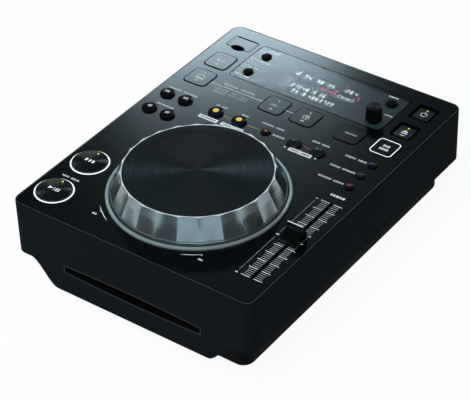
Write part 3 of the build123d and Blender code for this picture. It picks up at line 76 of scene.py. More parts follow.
floor_paint = bpy.data.materials.new("pale_floor")
floor_paint.use_nodes = True
tree = floor_paint.node_tree
tree.nodes.clear()
fleck = wired(tree, "ShaderNodeTexNoise", {"Scale": 3.0})["Fac"]
paper_tone = wired(tree, "ShaderNodeMapRange", {"Value": fleck, "To Min": 0.80, "To Max": 0.83})["Result"]
paper = wired(tree, "ShaderNodeBsdfDiffuse", {"Color": paper_tone})[0]
glow = wired(tree, "ShaderNodeEmission", {"Strength": 1.0})[0]
rays = wired(tree, "ShaderNodeLightPath")
seen = reckoned(tree, "MAXIMUM", rays["Is Camera Ray"], rays["Is Transmission Ray"])
seen = reckoned(tree, "MAXIMUM", seen, rays["Is Glossy Ray"])
# The small share that is left to the paper lets the floor show the object's shadow.
glow_share = reckoned(tree, "MULTIPLY", seen, 0.95)
blend = wired(tree, "ShaderNodeMixShader", {"Fac": glow_share, 1: paper, 2: glow})[0]
wired(tree, "ShaderNodeOutputMaterial", {"Surface": blend})
floor_mesh.materials.append(floor_paint)

world = bpy.data.worlds.new("studio")
bpy.context.scene.world = world
world.use_nodes = True
tree = world.node_tree
tree.nodes.clear()
rays = wired(tree, "ShaderNodeLightPath")
mirrored = reckoned(tree, "MAXIMUM", rays["Is Glossy Ray"], rays["Is Transmission Ray"])
# Gloss and glass find the pale backdrop just over the floor only, and the dim room above it.
towards = wired(tree, "ShaderNodeTexCoord")["Generated"]
height = wired(tree, "ShaderNodeSeparateXYZ", {0: towards})["Z"]
low_down = wired(tree, "ShaderNodeMapRange", {"Value": height, "From Min": 0.0, "From Max": 0.05, "To Min": 1.0,
                                              "To Max": 0.0})["Result"]
backdrop_seen = reckoned(tree, "MAXIMUM", reckoned(tree, "MULTIPLY", mirrored, low_down), rays["Is Camera Ray"])
room = wired(tree, "ShaderNodeBackground", {"Color": (0.80, 0.90, 0.95, 1), "Strength": 0.045})[0]
backdrop = wired(tree, "ShaderNodeBackground", {"Color": (1, 1, 1, 1)})[0]
blend = wired(tree, "ShaderNodeMixShader", {"Fac": backdrop_seen, 1: room, 2: backdrop})[0]
wired(tree, "ShaderNodeOutputWorld", {"Surface": blend})


def softbox(name, place, aim, width, height, power, colour, in_gloss=True):
    """A rectangular lamp at a place in metres that faces another point, with or without its reflection."""
    lamp = bpy.data.lights.new(name, "AREA")
    lamp.shape = "RECTANGLE"
    lamp.size = width
    lamp.size_y = height
    lamp.energy = power
    lamp.color = colour
    holder = bpy.data.objects.new(name, lamp)
    holder.visible_glossy = in_gloss
    bpy.context.scene.collection.objects.link(holder)
    away = (np.array(place) - np.array(aim)).tolist()
    turn = math.atan2(away[0], -away[1])
    tilt = math.atan2(math.hypot(away[0], away[1]), away[2])
    holder.matrix_world = (Matrix.Translation(place) @ Matrix.Rotation(turn, 4, "Z")
                           @ Matrix.Rotation(tilt, 4, "X"))


softbox("rear_softbox", (-1.336, 1.774, 1.359), (-0.05, 0.05, 0.085), 0.44, 0.20, 3.5, (0.655, 0.88, 0.975))
softbox("top_softbox", (0.25, -1.1, 2.0), (0.0, 0.0, 0.1), 1.1, 1.1, 46, (0.94, 0.985, 1.0), in_gloss=False)
softbox("back_softbox", (-0.516, 2.008, 1.406), (0.0, -0.06, 0.1), 0.3, 0.3, 1.5, (0.60, 0.86, 1.0))
softbox("front_card", (0.63, -0.90, 0.30), (0.0, -0.06, 0.10), 1.2, 0.40, 1.35, (0.76, 0.94, 1.0))
softbox("left_softbox", (-0.60, -0.50, 0.45), (-0.08, -0.14, 0.05), 0.3, 0.3, 3, (0.80, 0.93, 1.0), in_gloss=False)

view_turn = math.radians(36.873)
view_drop = math.radians(37.555)
view_roll = math.radians(-1.940)
lens = bpy.data.cameras.new("camera")
lens.lens = 148.42
lens.sensor_width = 36.0
lens.sensor_fit = "HORIZONTAL"
lens.clip_end = 20.0
camera = bpy.data.objects.new("camera", lens)
camera.matrix_world = (Matrix.Translation((0.71386, -0.96809, 0.96090)) @ Matrix.Rotation(view_turn, 4, "Z")
                       @ Matrix.Rotation(math.pi / 2 - view_drop, 4, "X") @ Matrix.Rotation(view_roll, 4, "Z"))
bpy.context.scene.collection.objects.link(camera)
bpy.context.scene.camera = camera
bpy.context.scene.view_settings.view_transform = "Standard"


# ---------------------------------------------------------------- moulded case
# Upper case, chin and tub: injection moulded ABS in satin black with a fine spark-eroded texture,
# joined by screws from below. The slot bezel is glossier, and the feet are soft rubber.
def surface_group(name, inputs):
    """A new node group with the inputs, what is given to it, and what it gives: a colour, a gloss and a normal."""
    group = bpy.data.node_groups.new(name, "ShaderNodeTree")
    for label, value in inputs.items():
        kind = "Float" if isinstance(value, float) else {3: "Vector", 4: "Color"}[len(value)]
        group.interface.new_socket(label, in_out="INPUT", socket_type="NodeSocket" + kind).default_value = value
    for label, kind in (("Colour", "Color"), ("Roughness", "Float"), ("Normal", "Vector")):
        group.interface.new_socket(label, in_out="OUTPUT", socket_type="NodeSocket" + kind)
    return group, group.nodes.new("NodeGroupInput").outputs, group.nodes.new("NodeGroupOutput").inputs


def grain_group():
    """Moulded grain: a fine noise in object space gives a normal, a broad one shifts tone and gloss."""
    group, given, gives = surface_group("moulded_grain", {
        "Colour": (0.5, 0.5, 0.5, 1), "Roughness": 0.4, "Grains": 2500.0, "Depth": 0.1, "Unevenness": 0.1})
    place = wired(group, "ShaderNodeTexCoord")["Object"]
    fine = wired(group, "ShaderNodeTexNoise", {"Vector": place, "Scale": given["Grains"], "Detail": 2.0})["Fac"]
    bump = wired(group, "ShaderNodeBump", {"Height": fine, "Strength": given["Depth"], "Distance": 0.0001})
    broad = wired(group, "ShaderNodeTexNoise", {"Vector": place, "Scale": 35.0, "Detail": 4.0})["Fac"]
    sway = reckoned(group, "MULTIPLY", reckoned(group, "SUBTRACT", broad, 0.5), given["Unevenness"])
    tone = wired(group, "ShaderNodeVectorMath", {0: given["Colour"], "Scale": reckoned(group, "ADD", 1.0, sway)},
                 operation="SCALE")
    group.links.new(tone[0], gives["Colour"])
    group.links.new(reckoned(group, "ADD", given["Roughness"], sway), gives["Roughness"])
    group.links.new(bump["Normal"], gives["Normal"])
    return group


moulded_grain = grain_group()


def shaded(name, values):
    """A new material, its node tree and its shader, with the values set on the shader's own sockets."""
    material = bpy.data.materials.new(name)
    material.use_nodes = True
    shader = material.node_tree.nodes["Principled BSDF"]
    for socket, value in values.items():
        shader.inputs[socket].default_value = value
    return material, material.node_tree, shader


def covered(tree, shader, surface):
    """Feeds what a surface group gives to the shader."""
    for socket, target in (("Colour", "Base Color"), ("Roughness", "Roughness"), ("Normal", "Normal")):
        tree.links.new(surface[socket], shader.inputs[target])


def moulded(name, colour, roughness, grains=2500.0, depth=0.15, unevenness=0.08, specular=0.5, metallic=0.0):
    """A moulded, painted or plated surface with the moulded grain."""
    material, tree, shader = shaded(name, {"Metallic": metallic, "Specular IOR Level": specular})
    covered(tree, shader, wired(tree, "ShaderNodeGroup", {
        "Colour": (*colour, 1), "Roughness": roughness, "Grains": grains, "Depth": depth,
        "Unevenness": unevenness}, node_tree=moulded_grain))
    return material


def finish(material, *names):
    """Gives a material to carried nodes of the frame."""
    for name in names:
        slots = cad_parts[name].data.materials
        slots.clear()
        slots.append(material)


finish(moulded("case_black", (0.0056, 0.0082, 0.0098), 0.40, grains=3200, specular=0.003), "upper_case")
finish(moulded("slot_black", (0.002, 0.002, 0.002), 0.5, depth=0.1, specular=0.2), "slot_bezel")
finish(moulded("tub_black", (0.0050, 0.0065, 0.0075), 0.55, grains=1500, depth=0.4, specular=0.02), "bottom_tub")
finish(moulded("foot_rubber", (0.014, 0.014, 0.014), 0.85, grains=900, depth=0.5, specular=0.25), "rubber_feet")
finish(moulded("screw_steel", (0.45, 0.46, 0.47), 0.32, grains=5000, metallic=1.0), "case_screws")

# ---------------------------------------------------------------- deck panel
# Deck: one ABS moulding in piano-satin black with a cool cast, smoother than the case, which drops
# into the case's top edge with a hairline seam. Its marks are screen printed, and the cover of the
# USB socket has the same finish.
mm = 0.001
deck_black = (0.0010, 0.0017, 0.0020)
finish(moulded("deck_satin", deck_black, 0.152, grains=2800, depth=0.02, unevenness=0.01), "deck_panel")
finish(moulded("cover_satin", deck_black, 0.16, grains=2800, depth=0.02, unevenness=0.01), "usb_cover")


def keep(piece, material, body):
    """Links a finished piece, gives it its material and lets it ride on a body."""
    piece.data.materials.append(material)
    bpy.context.scene.collection.objects.link(piece)
    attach(piece, body)
    return piece


def tidy(mesh, sharp=35.0):
    """Merges doubled points, turns the faces outwards and smooths all but the sharp edges."""
    work = bmesh.new()
    work.from_mesh(mesh)
    bmesh.ops.remove_doubles(work, verts=work.verts, dist=1e-7)
    bmesh.ops.dissolve_degenerate(work, edges=work.edges, dist=1e-8)
    bmesh.ops.recalc_face_normals(work, faces=work.faces)
    work.to_mesh(mesh)
    work.free()
    mesh.shade_smooth()
    mesh.set_sharp_from_angle(angle=math.radians(sharp))


def printed(name, loops, low, high, material, body="case"):
    """Thin flat marks from low to high: closed outlines in mm, where one inside another is a hole in it."""
    curve = bpy.data.curves.new(name, "CURVE")
    curve.dimensions = "2D"
    curve.fill_mode = "BOTH"
    curve.extrude = (high - low) / 2 * mm
    for loop in loops:
        loop = np.asarray(loop, float)
        spline = curve.splines.new("POLY")
        spline.points.add(len(loop) - 1)
        flat = np.zeros((len(loop), 4))
        flat[:, :2] = loop * mm
        flat[:, 3] = 1.0
        spline.points.foreach_set("co", flat.ravel())
        spline.use_cyclic_u = True
    holder = bpy.data.objects.new(name + "_outline", curve)
    bpy.context.scene.collection.objects.link(holder)
    bpy.context.view_layer.update()
    mesh = bpy.data.meshes.new_from_object(holder.evaluated_get(bpy.context.evaluated_depsgraph_get()))
    bpy.data.objects.remove(holder)
    bpy.data.curves.remove(curve)
    mesh.name = name
    mesh.transform(Matrix.Translation((0, 0, (low + high) / 2 * mm)))
    mesh.materials.clear()
    tidy(mesh)
    return keep(bpy.data.objects.new(name, mesh), material, body)


def bar(x, y, width, depth):
    """Outline of a rectangle round a middle point."""
    w, d = width / 2, depth / 2
    return np.array([(x - w, y - d), (x + w, y - d), (x + w, y + d), (x - w, y + d)])


def disc(x, y, radius, steps=40):
    """Outline of a circle: the middle plus the radius times cosine and sine of even turns."""
    turn = np.arange(steps) * 2 * math.pi / steps
    return np.stack([x + radius * np.cos(turn), y + radius * np.sin(turn)], 1)


def rounded(x, y, width, depth, radius, steps=7):
    """Outline of a rounded rectangle: four quarter circles, each round its own corner's middle."""
    quarter = np.linspace(0, math.pi / 2, steps)
    turn = (quarter[None, :] + np.arange(4)[:, None] * math.pi / 2).ravel()
    side_x = np.repeat([1, -1, -1, 1], steps) * (width / 2 - radius)
    side_y = np.repeat([1, 1, -1, -1], steps) * (depth / 2 - radius)
    return np.stack([x + side_x + radius * np.cos(turn), y + side_y + radius * np.sin(turn)], 1)


def bow(x, y, inner, outer, start, end, steps=24):
    """Outline of an arc band from start to end in degrees, whose width swells from nothing to full and back."""
    turn = np.radians(np.linspace(start, end, steps))
    swell = np.sin(np.linspace(0, math.pi, steps)) ** 0.5
    core, width = (inner + outer) / 2, (outer - inner) / 2 * swell
    ray = np.stack([np.cos(turn), np.sin(turn)], 1)
    there, back = ray * (core - width)[:, None], (ray * (core + width)[:, None])[::-1]
    return np.array([x, y]) + np.concatenate([there, back])


def greeked(x, y, words, height, spacing=0.42, width=0.0):
    """Stand-in for a label: for each word a row of small upright blocks of uneven width, centred on x.

    The blocks' widths and the gaps between letters and words are shares of the height. A width
    other than nothing stretches the row to it.
    """
    widths, gap_shade_lines = [], []
    for word in words:
        letters = 0.55 * height * (0.75 + 0.5 * ((np.arange(word) * 7 + word * 3) % 5) / 4)
        widths += letters.tolist()
        gap_shade_lines += [spacing * height * 0.5] * (word - 1) + [height * 0.9]
    widths, gap_shade_lines = np.array(widths), np.array(gap_shade_lines)
    full = widths.sum() + gap_shade_lines[:-1].sum()
    stretch = width / full if width else 1.0
    left = x + stretch * (np.concatenate([[0], np.cumsum(widths + gap_shade_lines)[:-1]]) - full / 2)
    return [bar(place + wide / 2, y, wide, height) for place, wide in zip(left, widths * stretch)]


def labels(*rows):
    """The blocks of several labels, each given by x, y, its words, its height and its width."""
    return [block for x, y, words, height, width in rows for block in greeked(x, y, words, height, width=width)]


def spread(node):
    """Middle and size of a carried node seen from above, in mm."""
    low, high = np.array(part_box(node)) / mm
    return (low[0] + high[0]) / 2, (low[1] + high[1]) / 2, high[0] - low[0], high[1] - low[1]


def middle(node):
    """Middle of a carried node seen from above, and its top, in mm."""
    return (*spread(node)[:2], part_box(node)[1][2] / mm)


deck_x, deck_y, deck_wide, deck_deep = spread("deck_panel")
deck_top = middle("deck_panel")[2]
# A thin grey line printed round the deck's edge is a painted highlight, standing in for the light that the case's rim
# catches.
rim_highlight_grey = moulded("rim_highlight_grey", (0.050, 0.060, 0.062), 0.3, depth=0.05)
printed("deck_rim_highlight", [rounded(deck_x, deck_y, deck_wide - 0.3, deck_deep - 0.3, 6.0),
                     rounded(deck_x, deck_y, deck_wide - 1.0, deck_deep - 1.0, 5.6)],
        deck_top - 0.05, deck_top + 0.01, rim_highlight_grey)

ink_sunk, ink_proud = 0.02, 0.03


def ink(name, colour, unevenness=0.1):
    """Screen printing ink."""
    return moulded(name, colour, 0.5, grains=6000, depth=0.05, unevenness=unevenness)


ink_white = ink("ink_white", (0.72, 0.76, 0.78))
ink_soft = ink("ink_soft", (0.48, 0.53, 0.55))
ink_grey = ink("ink_grey", (0.30, 0.33, 0.35))


def on_deck(name, loops, colour):
    """Prints marks on the deck, given in mm from the frame's origin."""
    printed(name, loops, deck_top - ink_sunk, deck_top + ink_proud, colour)


# The two turning directions, printed in front of the wheel: an arc, a word and a dot for each.
jog_x, jog_y, _ = middle("jog_bezel")
arc_inner, arc_outer = 74.2, 74.8
wheel_marks = [bow(jog_x, jog_y, arc_inner, arc_outer, start, end) for start, end in ((-64, -51), (-133, -118.5))]
for side in (-1, 1):
    wheel_marks += greeked(jog_x + side * 48.5, jog_y - 63.8, (3,), 1.6)
    wheel_marks.append(disc(jog_x + side * 46.5, jog_y - 59.5, 0.45, 12))
on_deck("wheel_marks", wheel_marks, ink_white)

# ---------------------------------------------------------------- tempo fader
# Fader: a moulded black cap with a white line along its ridge, a painted highlight, pressed on a steel
# lever that runs in a long slit between two printed ladders of fine ticks, with a long one at every fifth.
fader_x, _, cap_top = middle("fader_cap")
scale_top, scale_bottom = jog_y + 42.0, jog_y - 60.1
tick_count = 51
tick_rows = np.linspace(scale_top, scale_bottom, tick_count)
is_long = np.arange(tick_count) % 5 == 0


def ladder(rows, left, right, thickness):
    """Ticks at some rows on both sides of the slit, given by their middles' distance from it and their length."""
    return [bar(fader_x + offset, row, length, thickness) for row in rows for offset, length in (left, right)]


on_deck("tempo_long_ticks", ladder(tick_rows[is_long], (-5.5, 7.8), (5.3, 7.4), 0.6), ink_white)
on_deck("tempo_short_ticks", ladder(tick_rows[~is_long], (-4.8, 6.3), (4.6, 5.9), 0.55), ink_grey)

# A thin line beside the scale, broken at its middle by a ring, ends in a minus and in a plus.
line_x = fader_x - 13.1
zero_y = (scale_top + scale_bottom) / 2
line_gap = 6.4
on_deck("tempo_line", [bar(line_x, (end + zero_y) / 2, 0.3, abs(end - zero_y) - line_gap)
                       for end in (scale_top, scale_bottom)], ink_grey)
ring = [disc(line_x, zero_y, 1.2, 20), disc(line_x, zero_y, 0.7, 20)]
minus = [bar(line_x, scale_top, 2.0, 0.6)]
plus = [bar(line_x, scale_bottom, 2.1, 0.6), bar(line_x, scale_bottom - 0.68, 0.6, 0.75),
        bar(line_x, scale_bottom + 0.68, 0.6, 0.75)]
tempo_word = labels((fader_x - 1.2, scale_top + 9.8, (5,), 2.3, 12.4))
on_deck("tempo_signs", ring + minus + plus + tempo_word, ink_white)

cap_black = moulded("fader_cap_black", (0.0016, 0.0022, 0.0025), 0.28, grains=3500, depth=0.1, specular=0.25)
finish(cap_black, "fader_cap")
finish(moulded("lever_steel", (0.40, 0.41, 0.42), 0.35, metallic=1.0), "fader_lever")
finish(moulded("fader_body_black", (0.012, 0.012, 0.012), 0.6), "fader_body")
# The white line printed on the cap's ridge is a painted highlight, where the ridge catches the light.
ridge_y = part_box("fader_cap")[1][1] / mm - 4.5
printed("fader_ridge_highlight", [bar(fader_x, ridge_y, 13.0, 1.1)], cap_top - 0.03, cap_top + 0.03, ink_white,
        "fader")


# ---------------------------------------------------------------- jog wheel
# Wheel: one moulding, vacuum plated in smoky silver, whose skirt is scooped by 24 flutes that run
# out into a flared foot. A machined trim, paler than the skirt as a painted highlight along the rim,
# edges the sunk plate of black anodised aluminium, which is faced on a lathe, as the bezel in the deck is.
def lathe_group():
    """Turned grooves: a noise over the radius picks each groove's flank, in or out along the radius.

    The normal is the surface's own plus the radius's direction times the flank's slope; the same
    noise shifts tone and gloss a little.
    """
    group, given, gives = surface_group("lathe_grooves", {
        "Vector": (0, 0, 0), "Colour": (0.5, 0.5, 0.5, 1), "Roughness": 0.3, "Grooves": 3000.0, "Slope": 0.1,
        "Contrast": 0.2})

    def vector(operation, feeds):
        return wired(group, "ShaderNodeVectorMath", feeds, operation=operation)

    flat = vector("MULTIPLY", {0: given["Vector"], 1: (1, 1, 0)})[0]
    outward = vector("NORMALIZE", {0: flat})[0]
    place = reckoned(group, "MULTIPLY", vector("LENGTH", {0: flat})["Value"], given["Grooves"])
    noise = wired(group, "ShaderNodeTexNoise", {"W": place, "Scale": 1.0, "Detail": 2.0}, noise_dimensions="1D")
    drift = reckoned(group, "SUBTRACT", noise["Fac"], 0.44)
    flank = reckoned(group, "ADD", reckoned(group, "SIGN", drift), drift)
    lean = vector("SCALE", {0: outward, "Scale": reckoned(group, "MULTIPLY", flank, given["Slope"])})[0]
    face = wired(group, "ShaderNodeNewGeometry")["Normal"]
    sway = reckoned(group, "MULTIPLY", drift, given["Contrast"])
    tone = vector("SCALE", {0: given["Colour"], "Scale": reckoned(group, "ADD", sway, 1.0)})[0]
    group.links.new(tone, gives["Colour"])
    group.links.new(reckoned(group, "ADD", given["Roughness"], sway), gives["Roughness"])
    group.links.new(vector("NORMALIZE", {0: vector("ADD", {0: face, 1: lean})[0]})[0], gives["Normal"])
    return group


lathe_grooves = lathe_group()


def lathed(name, x, y, colour, roughness, grooves=6000.0, slope=0.1, contrast=0.2, metallic=0.0, specular=0.5):
    """A surface turned about an upright axis at x and y in mm, with fine grooves about that axis."""
    material, tree, shader = shaded(name, {"Metallic": metallic, "Specular IOR Level": specular})
    place = wired(tree, "ShaderNodeTexCoord")["Object"]
    centred = wired(tree, "ShaderNodeMapping", {"Vector": place, "Location": (-x * mm, -y * mm, 0)})["Vector"]
    covered(tree, shader, wired(tree, "ShaderNodeGroup", {
        "Vector": centred, "Colour": (*colour, 1), "Roughness": roughness, "Grooves": grooves, "Slope": slope,
        "Contrast": contrast}, node_tree=lathe_grooves))
    return material


def gridded(name, points, closed, material, body, sharp=35.0):
    """A surface over a grid of points in mm that runs round along its rows: each cell is a face.

    A closed one also joins its last row to its first.
    """
    mesh = bpy.data.meshes.new(name)
    index = np.arange(points.shape[0] * points.shape[1]).reshape(points.shape[:2])
    below = np.roll(index, -1, 0) if closed else index[1:]
    here = index if closed else index[:-1]
    faces = np.stack([here, np.roll(here, -1, 1), np.roll(below, -1, 1), below], -1).reshape(-1, 4)
    mesh.from_pydata((points.reshape(-1, 3) * mm).tolist(), [], faces.tolist())
    tidy(mesh, sharp)
    return keep(bpy.data.objects.new(name, mesh), material, body)


# Radii from the wheel's axis and heights above the deck, in mm.
flutes = 24
flute_radius = 40.0
skirt_lean = math.radians(24.5)
rim_radius, skirt_foot_radius, foot_radius = 58.5, 65.93, 66.6
rim_height, land_height, full_scoop_height, skirt_foot, flare_height = 20.7, 20.5, 14.0, 4.4, 2.4
plate_radius, plate_height, seat_height = 56.5, 20.4, 17.6
wheel_turn = np.arange(32 * flutes) * 2 * math.pi / (32 * flutes)


def skirt_radius(height, turn):
    """Radius of the skirt at a height above the deck and a turn about the axis.

    Down to its foot the plain skirt is a cone that leans by the skirt's lean, and below it widens
    to the foot by a power of the drop. A flute is a shallow scoop: on the rim's circle it is the
    near crossing of a ray at the turn with a circle of the flute's radius that goes through the
    flute's two edges. Below the height of the full scoop its depth fades out by a power.
    """
    cone = rim_radius + (rim_height - np.maximum(height, skirt_foot)) * math.tan(skirt_lean)
    drop = np.clip((skirt_foot - height) / (skirt_foot - flare_height), 0, 1)
    cone = cone + (foot_radius - skirt_foot_radius) * drop ** 2.6
    pitch = 2 * math.pi / flutes
    off = (turn + pitch / 2) % pitch - pitch / 2
    half_chord = rim_radius * math.sin(pitch / 2)
    axis = rim_radius * math.cos(pitch / 2) + math.sqrt(flute_radius ** 2 - half_chord ** 2)
    scooped = axis * np.cos(off) - np.sqrt(flute_radius ** 2 - (axis * np.sin(off)) ** 2)
    depth = np.clip((height - flare_height) / (full_scoop_height - flare_height), 0, 1) ** 0.6
    return cone - (rim_radius - scooped) * depth


def wheel_surface(name, rows, closed, material, sharp):
    """A surface round the wheel's axis: rows of radius and height above the deck, where a radius may vary."""
    radii, heights = (np.stack([np.broadcast_to(row[part], wheel_turn.shape) for row in rows]) for part in (0, 1))
    points = np.stack([jog_x + radii * np.cos(wheel_turn), jog_y + radii * np.sin(wheel_turn),
                       deck_top + heights], -1)
    return gridded(name, points, closed, material, "jog", sharp)


edge = skirt_radius(np.float64(land_height), wheel_turn)
seat = [(0, seat_height), (plate_radius + 0.08, seat_height), (plate_radius + 0.08, land_height - 0.1),
        (plate_radius + 0.15, land_height), (edge - 0.2, land_height)]
skirt_heights = np.concatenate([np.linspace(land_height - 0.2, 4.8, 20), np.linspace(4.4, 2.7, 12),
                                [2.6, 2.53, 2.47, 2.42]])
outside = [(skirt_radius(height, wheel_turn), height) for height in skirt_heights]
foot_and_hollow = [(foot_radius, 2.1), (foot_radius, 1.0), (61.5, 1.0), (57.0, 5.0), (54.8, 15.6)]
hub = [(9.0, 15.6), (9.0, -13.0), (3.9, -13.0), (3.9, -20.0), (0, -20.0)]
skirt_silver = moulded("jog_smoke_silver", (0.275, 0.345, 0.365), 0.20, grains=6000, depth=0.005, unevenness=0.05,
                       metallic=0.93)
skirt = wheel_surface("jog_skirt", seat + outside + foot_and_hollow + hub, False, skirt_silver, 8)
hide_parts("jog_ring")

trim = [(plate_radius + 0.1, land_height - 0.05), (plate_radius + 0.1, rim_height - 0.1),
        (plate_radius + 0.2, rim_height), (edge - 0.25, rim_height), (edge - 0.02, rim_height - 0.15),
        (edge - 0.02, land_height - 0.05)]
# The trim's silver is paler and less metallic than the skirt's, so the top lamp lights the rim white all round: a
# painted highlight.
trim_highlight_silver = moulded("jog_trim_painted_highlight", (0.80, 0.85, 0.87), 0.42, grains=5000, depth=0.05, unevenness=0.05,
                      metallic=0.5)
wheel_surface("jog_trim", trim, True, trim_highlight_silver, 30)

plate_black = lathed("jog_plate_black", jog_x, jog_y, (0.0075, 0.0115, 0.0135), 0.26, grooves=9000, slope=0.30,
                     contrast=0.1, specular=0.3)
plate_rows = [(0, seat_height + 0.2), (plate_radius, seat_height + 0.2), (plate_radius, plate_height - 0.45),
              (plate_radius - 0.75, plate_height)]
plate_rows += [(radius, plate_height) for radius in np.linspace(plate_radius - 1.5, 0, 8)]
plate = wheel_surface("jog_top", plate_rows, False, plate_black, 20)
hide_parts("jog_plate")

finish(skirt_silver, "jog_ring")
finish(plate_black, "jog_plate")
finish(lathed("bezel_silver", jog_x, jog_y, (0.40, 0.49, 0.51), 0.30, grooves=4000, slope=0.05, metallic=0.6),
       "jog_bezel")
finish(moulded("bearing_steel", (0.45, 0.46, 0.47), 0.25, metallic=1.0), "jog_bearing")
inner_black = moulded("inner_black", (0.004, 0.004, 0.004), 0.6, specular=0.3)
finish(inner_black, "jog_base")


# ---------------------------------------------------------------- cue and play
# The two large buttons: black plastic caps spun on a lathe, each in a raised ring of clear plastic
# lit in white, with a small lens and a printed symbol on top. They sit on switches on the board.
def lit(name, colour, strength, unlit=0.3, specular=0.5):
    """A lamp's lens of tinted plastic over a light, or a painted glow on a surface that is no lamp, with a slightly
    uneven glow. Unlit is its colour's share.
    """
    material, tree, shader = shaded(name, {"Roughness": 0.25, "Specular IOR Level": specular,
                                           "Emission Strength": strength})
    place = wired(tree, "ShaderNodeTexCoord")["Object"]
    cloud = wired(tree, "ShaderNodeTexNoise", {"Vector": place, "Scale": 900.0})["Fac"]
    for target, share in (("Base Color", unlit), ("Emission Color", 1.0)):
        ramp = wired(tree, "ShaderNodeMix", {"A": (*[0.85 * share * c for c in colour], 1),
                                             "B": (*[share * c for c in colour], 1), "Factor": cloud},
                     data_type="RGBA")
        tree.links.new(ramp["Result"], shader.inputs[target])
    return material


def turned(name, x, y, profile, material, body, steps=64, closed=False):
    """A piece turned about an upright axis: the profile's radii and heights are carried round in even steps."""
    profile = np.asarray(profile, float)
    turn = np.arange(steps) * 2 * math.pi / steps
    points = np.stack([x + profile[:, :1] * np.cos(turn), y + profile[:, :1] * np.sin(turn),
                       profile[:, 1:] + 0 * turn], -1)
    return gridded(name, points, closed, material, body)


def dome(name, x, y, z, radius, height, material, body, steps=32):
    """A small lens: a quarter ellipse turned about its axis, standing on height z and let in by 0.3 mm."""
    turn = np.linspace(0, math.pi / 2, 8)
    profile = np.stack([radius * np.cos(turn), z + height * np.sin(turn)], 1)
    profile[-1, 0] = 0
    profile = np.concatenate([[(0, z - 0.3), (radius, z - 0.3)], profile])
    return turned(name, x, y, profile, material, body, steps)


lamp_white = lit("lamp_white", (0.95, 1.0, 1.0), 0.75, 0.7)
lamp_green = lit("lamp_green", (0.62, 0.85, 0.14), 0.9)
ink_bright = ink("ink_bright", (0.85, 0.88, 0.90), unevenness=0.05)
ring_inner, ring_outer = 14.32, 15.4
ring_profile = [(ring_inner, deck_top - 0.4), (ring_outer, deck_top - 0.4), (ring_outer, deck_top + 0.2),
                (ring_outer - 0.25, deck_top + 0.4), (ring_inner + 0.28, deck_top + 0.4),
                (ring_inner, deck_top + 0.2)]
for name in ("play", "cue"):
    x, y, top = middle(name + "_button")
    finish(lathed(name + "_cap_black", x, y, (0.003, 0.0042, 0.0048), 0.22, grooves=9000, slope=0.28),
           name + "_button")
    turned(name + "_ring", x, y, ring_profile, lamp_white, "case", 96, closed=True)
    dome(name + "_lamp", x - 0.4, y + 10.6, top - 0.35, 0.75, 0.55, lamp_green, name)
    if name == "play":
        glyph = [[(x - 5.0, y - 1.8), (x - 1.3, y), (x - 5.0, y + 1.8)], bar(x + 0.1, y, 0.45, 3.4),
                 bar(x + 2.2, y, 1.1, 3.4), bar(x + 4.3, y, 1.1, 3.4)]
    else:
        glyph = greeked(x, y, (3,), 3.0, 1.0)
    printed(name + "_symbol", glyph, top - 0.14, top + 0.03, ink_bright, name)
play_x, play_y, _ = middle("play_button")
on_deck("play_label", labels((play_x, play_y + 19.3, (4, 5), 1.8, 16.0)), ink_soft)

# ---------------------------------------------------------------- track and search buttons
# Four small domed buttons in glossy black plastic, each with a printed double arrow. Each stands in
# its own hole over a switch, and each pair shares a label on the deck.
button_gloss = moulded("button_gloss", (0.003, 0.0035, 0.004), 0.13, grains=3000, depth=0.03, unevenness=0.04)


def arrows(x, y, size, way):
    """Two triangles that point the same way, one behind the other."""
    return [[(x + way * (shift - size), y - size), (x + way * shift, y), (x + way * (shift - size), y + size)]
            for shift in (0.0, size)]


for row in ("track", "search"):
    for way, side in ((-1, "back"), (1, "forward")):
        name = f"{row}_{side}"
        x, y, top = middle(name + "_button")
        finish(button_gloss, name + "_button")
        marks = arrows(x, y, 1.7, way)
        if row == "track":
            marks.append(bar(x + way * 2.2, y, 0.6, 3.4))
        printed(name + "_symbol", marks, top - 0.25, top + 0.02, ink_soft, name)
on_deck("track_label", labels((-86.9, 35.3, (5, 6), 1.9, 27.0)), ink_soft)
on_deck("search_label", labels((-87.4, 12.0, (6,), 1.9, 15.6)), ink_soft)

# ---------------------------------------------------------------- loop and beat buttons
# Loop in and out have a glowing amber lens let into a dark blue-black cap. A printed line joins them
# with the small third button, and another joins the two beat buttons, which are domed and plain.
finish(moulded("loop_cap", (0.004, 0.006, 0.014), 0.16, depth=0.03), "loop_in_button", "loop_out_button")
finish(moulded("reloop_cap", (0.004, 0.004, 0.004), 0.25, depth=0.05), "reloop_button")
finish(moulded("beat_cap", (0.008, 0.011, 0.012), 0.21, depth=0.02, specular=0.9), "beat_shorter_button",
       "beat_longer_button")
lamp_amber = lit("lamp_amber", (1.0, 0.76, 0.13), 0.66, 0.1)
lamp_faint_amber = lit("lamp_faint_amber", (0.40, 0.16, 0.06), 0.4)
for name, radius, lamp in (("loop_in", 2.6, lamp_amber), ("loop_out", 2.6, lamp_amber),
                           ("reloop", 1.5, lamp_faint_amber)):
    x, y, top = middle(name + "_button")
    dome(name + "_lamp", x, y, top - 0.25, radius, 0.6, lamp, name)
loop_y = middle("loop_in_button")[1]
in_x, out_x, reloop_x, shorter_x, longer_x = (middle(name + "_button")[0] for name in (
    "loop_in", "loop_out", "reloop", "beat_shorter", "beat_longer"))
ink_ochre = moulded("ink_ochre", (0.40, 0.33, 0.12), 0.5, grains=6000, depth=0.05)
ink_orange = moulded("ink_orange", (0.65, 0.14, 0.04), 0.5, grains=6000, depth=0.05)
on_deck("loop_line", [bar((in_x + out_x) / 2, loop_y, out_x - in_x - 14.6, 0.55),
                      bar((out_x + reloop_x) / 2 + 1, loop_y, reloop_x - out_x - 14.5, 0.55)], ink_ochre)
on_deck("beat_line", [bar((shorter_x + longer_x) / 2, loop_y + 0.6, 5.2, 0.5)], ink_orange)
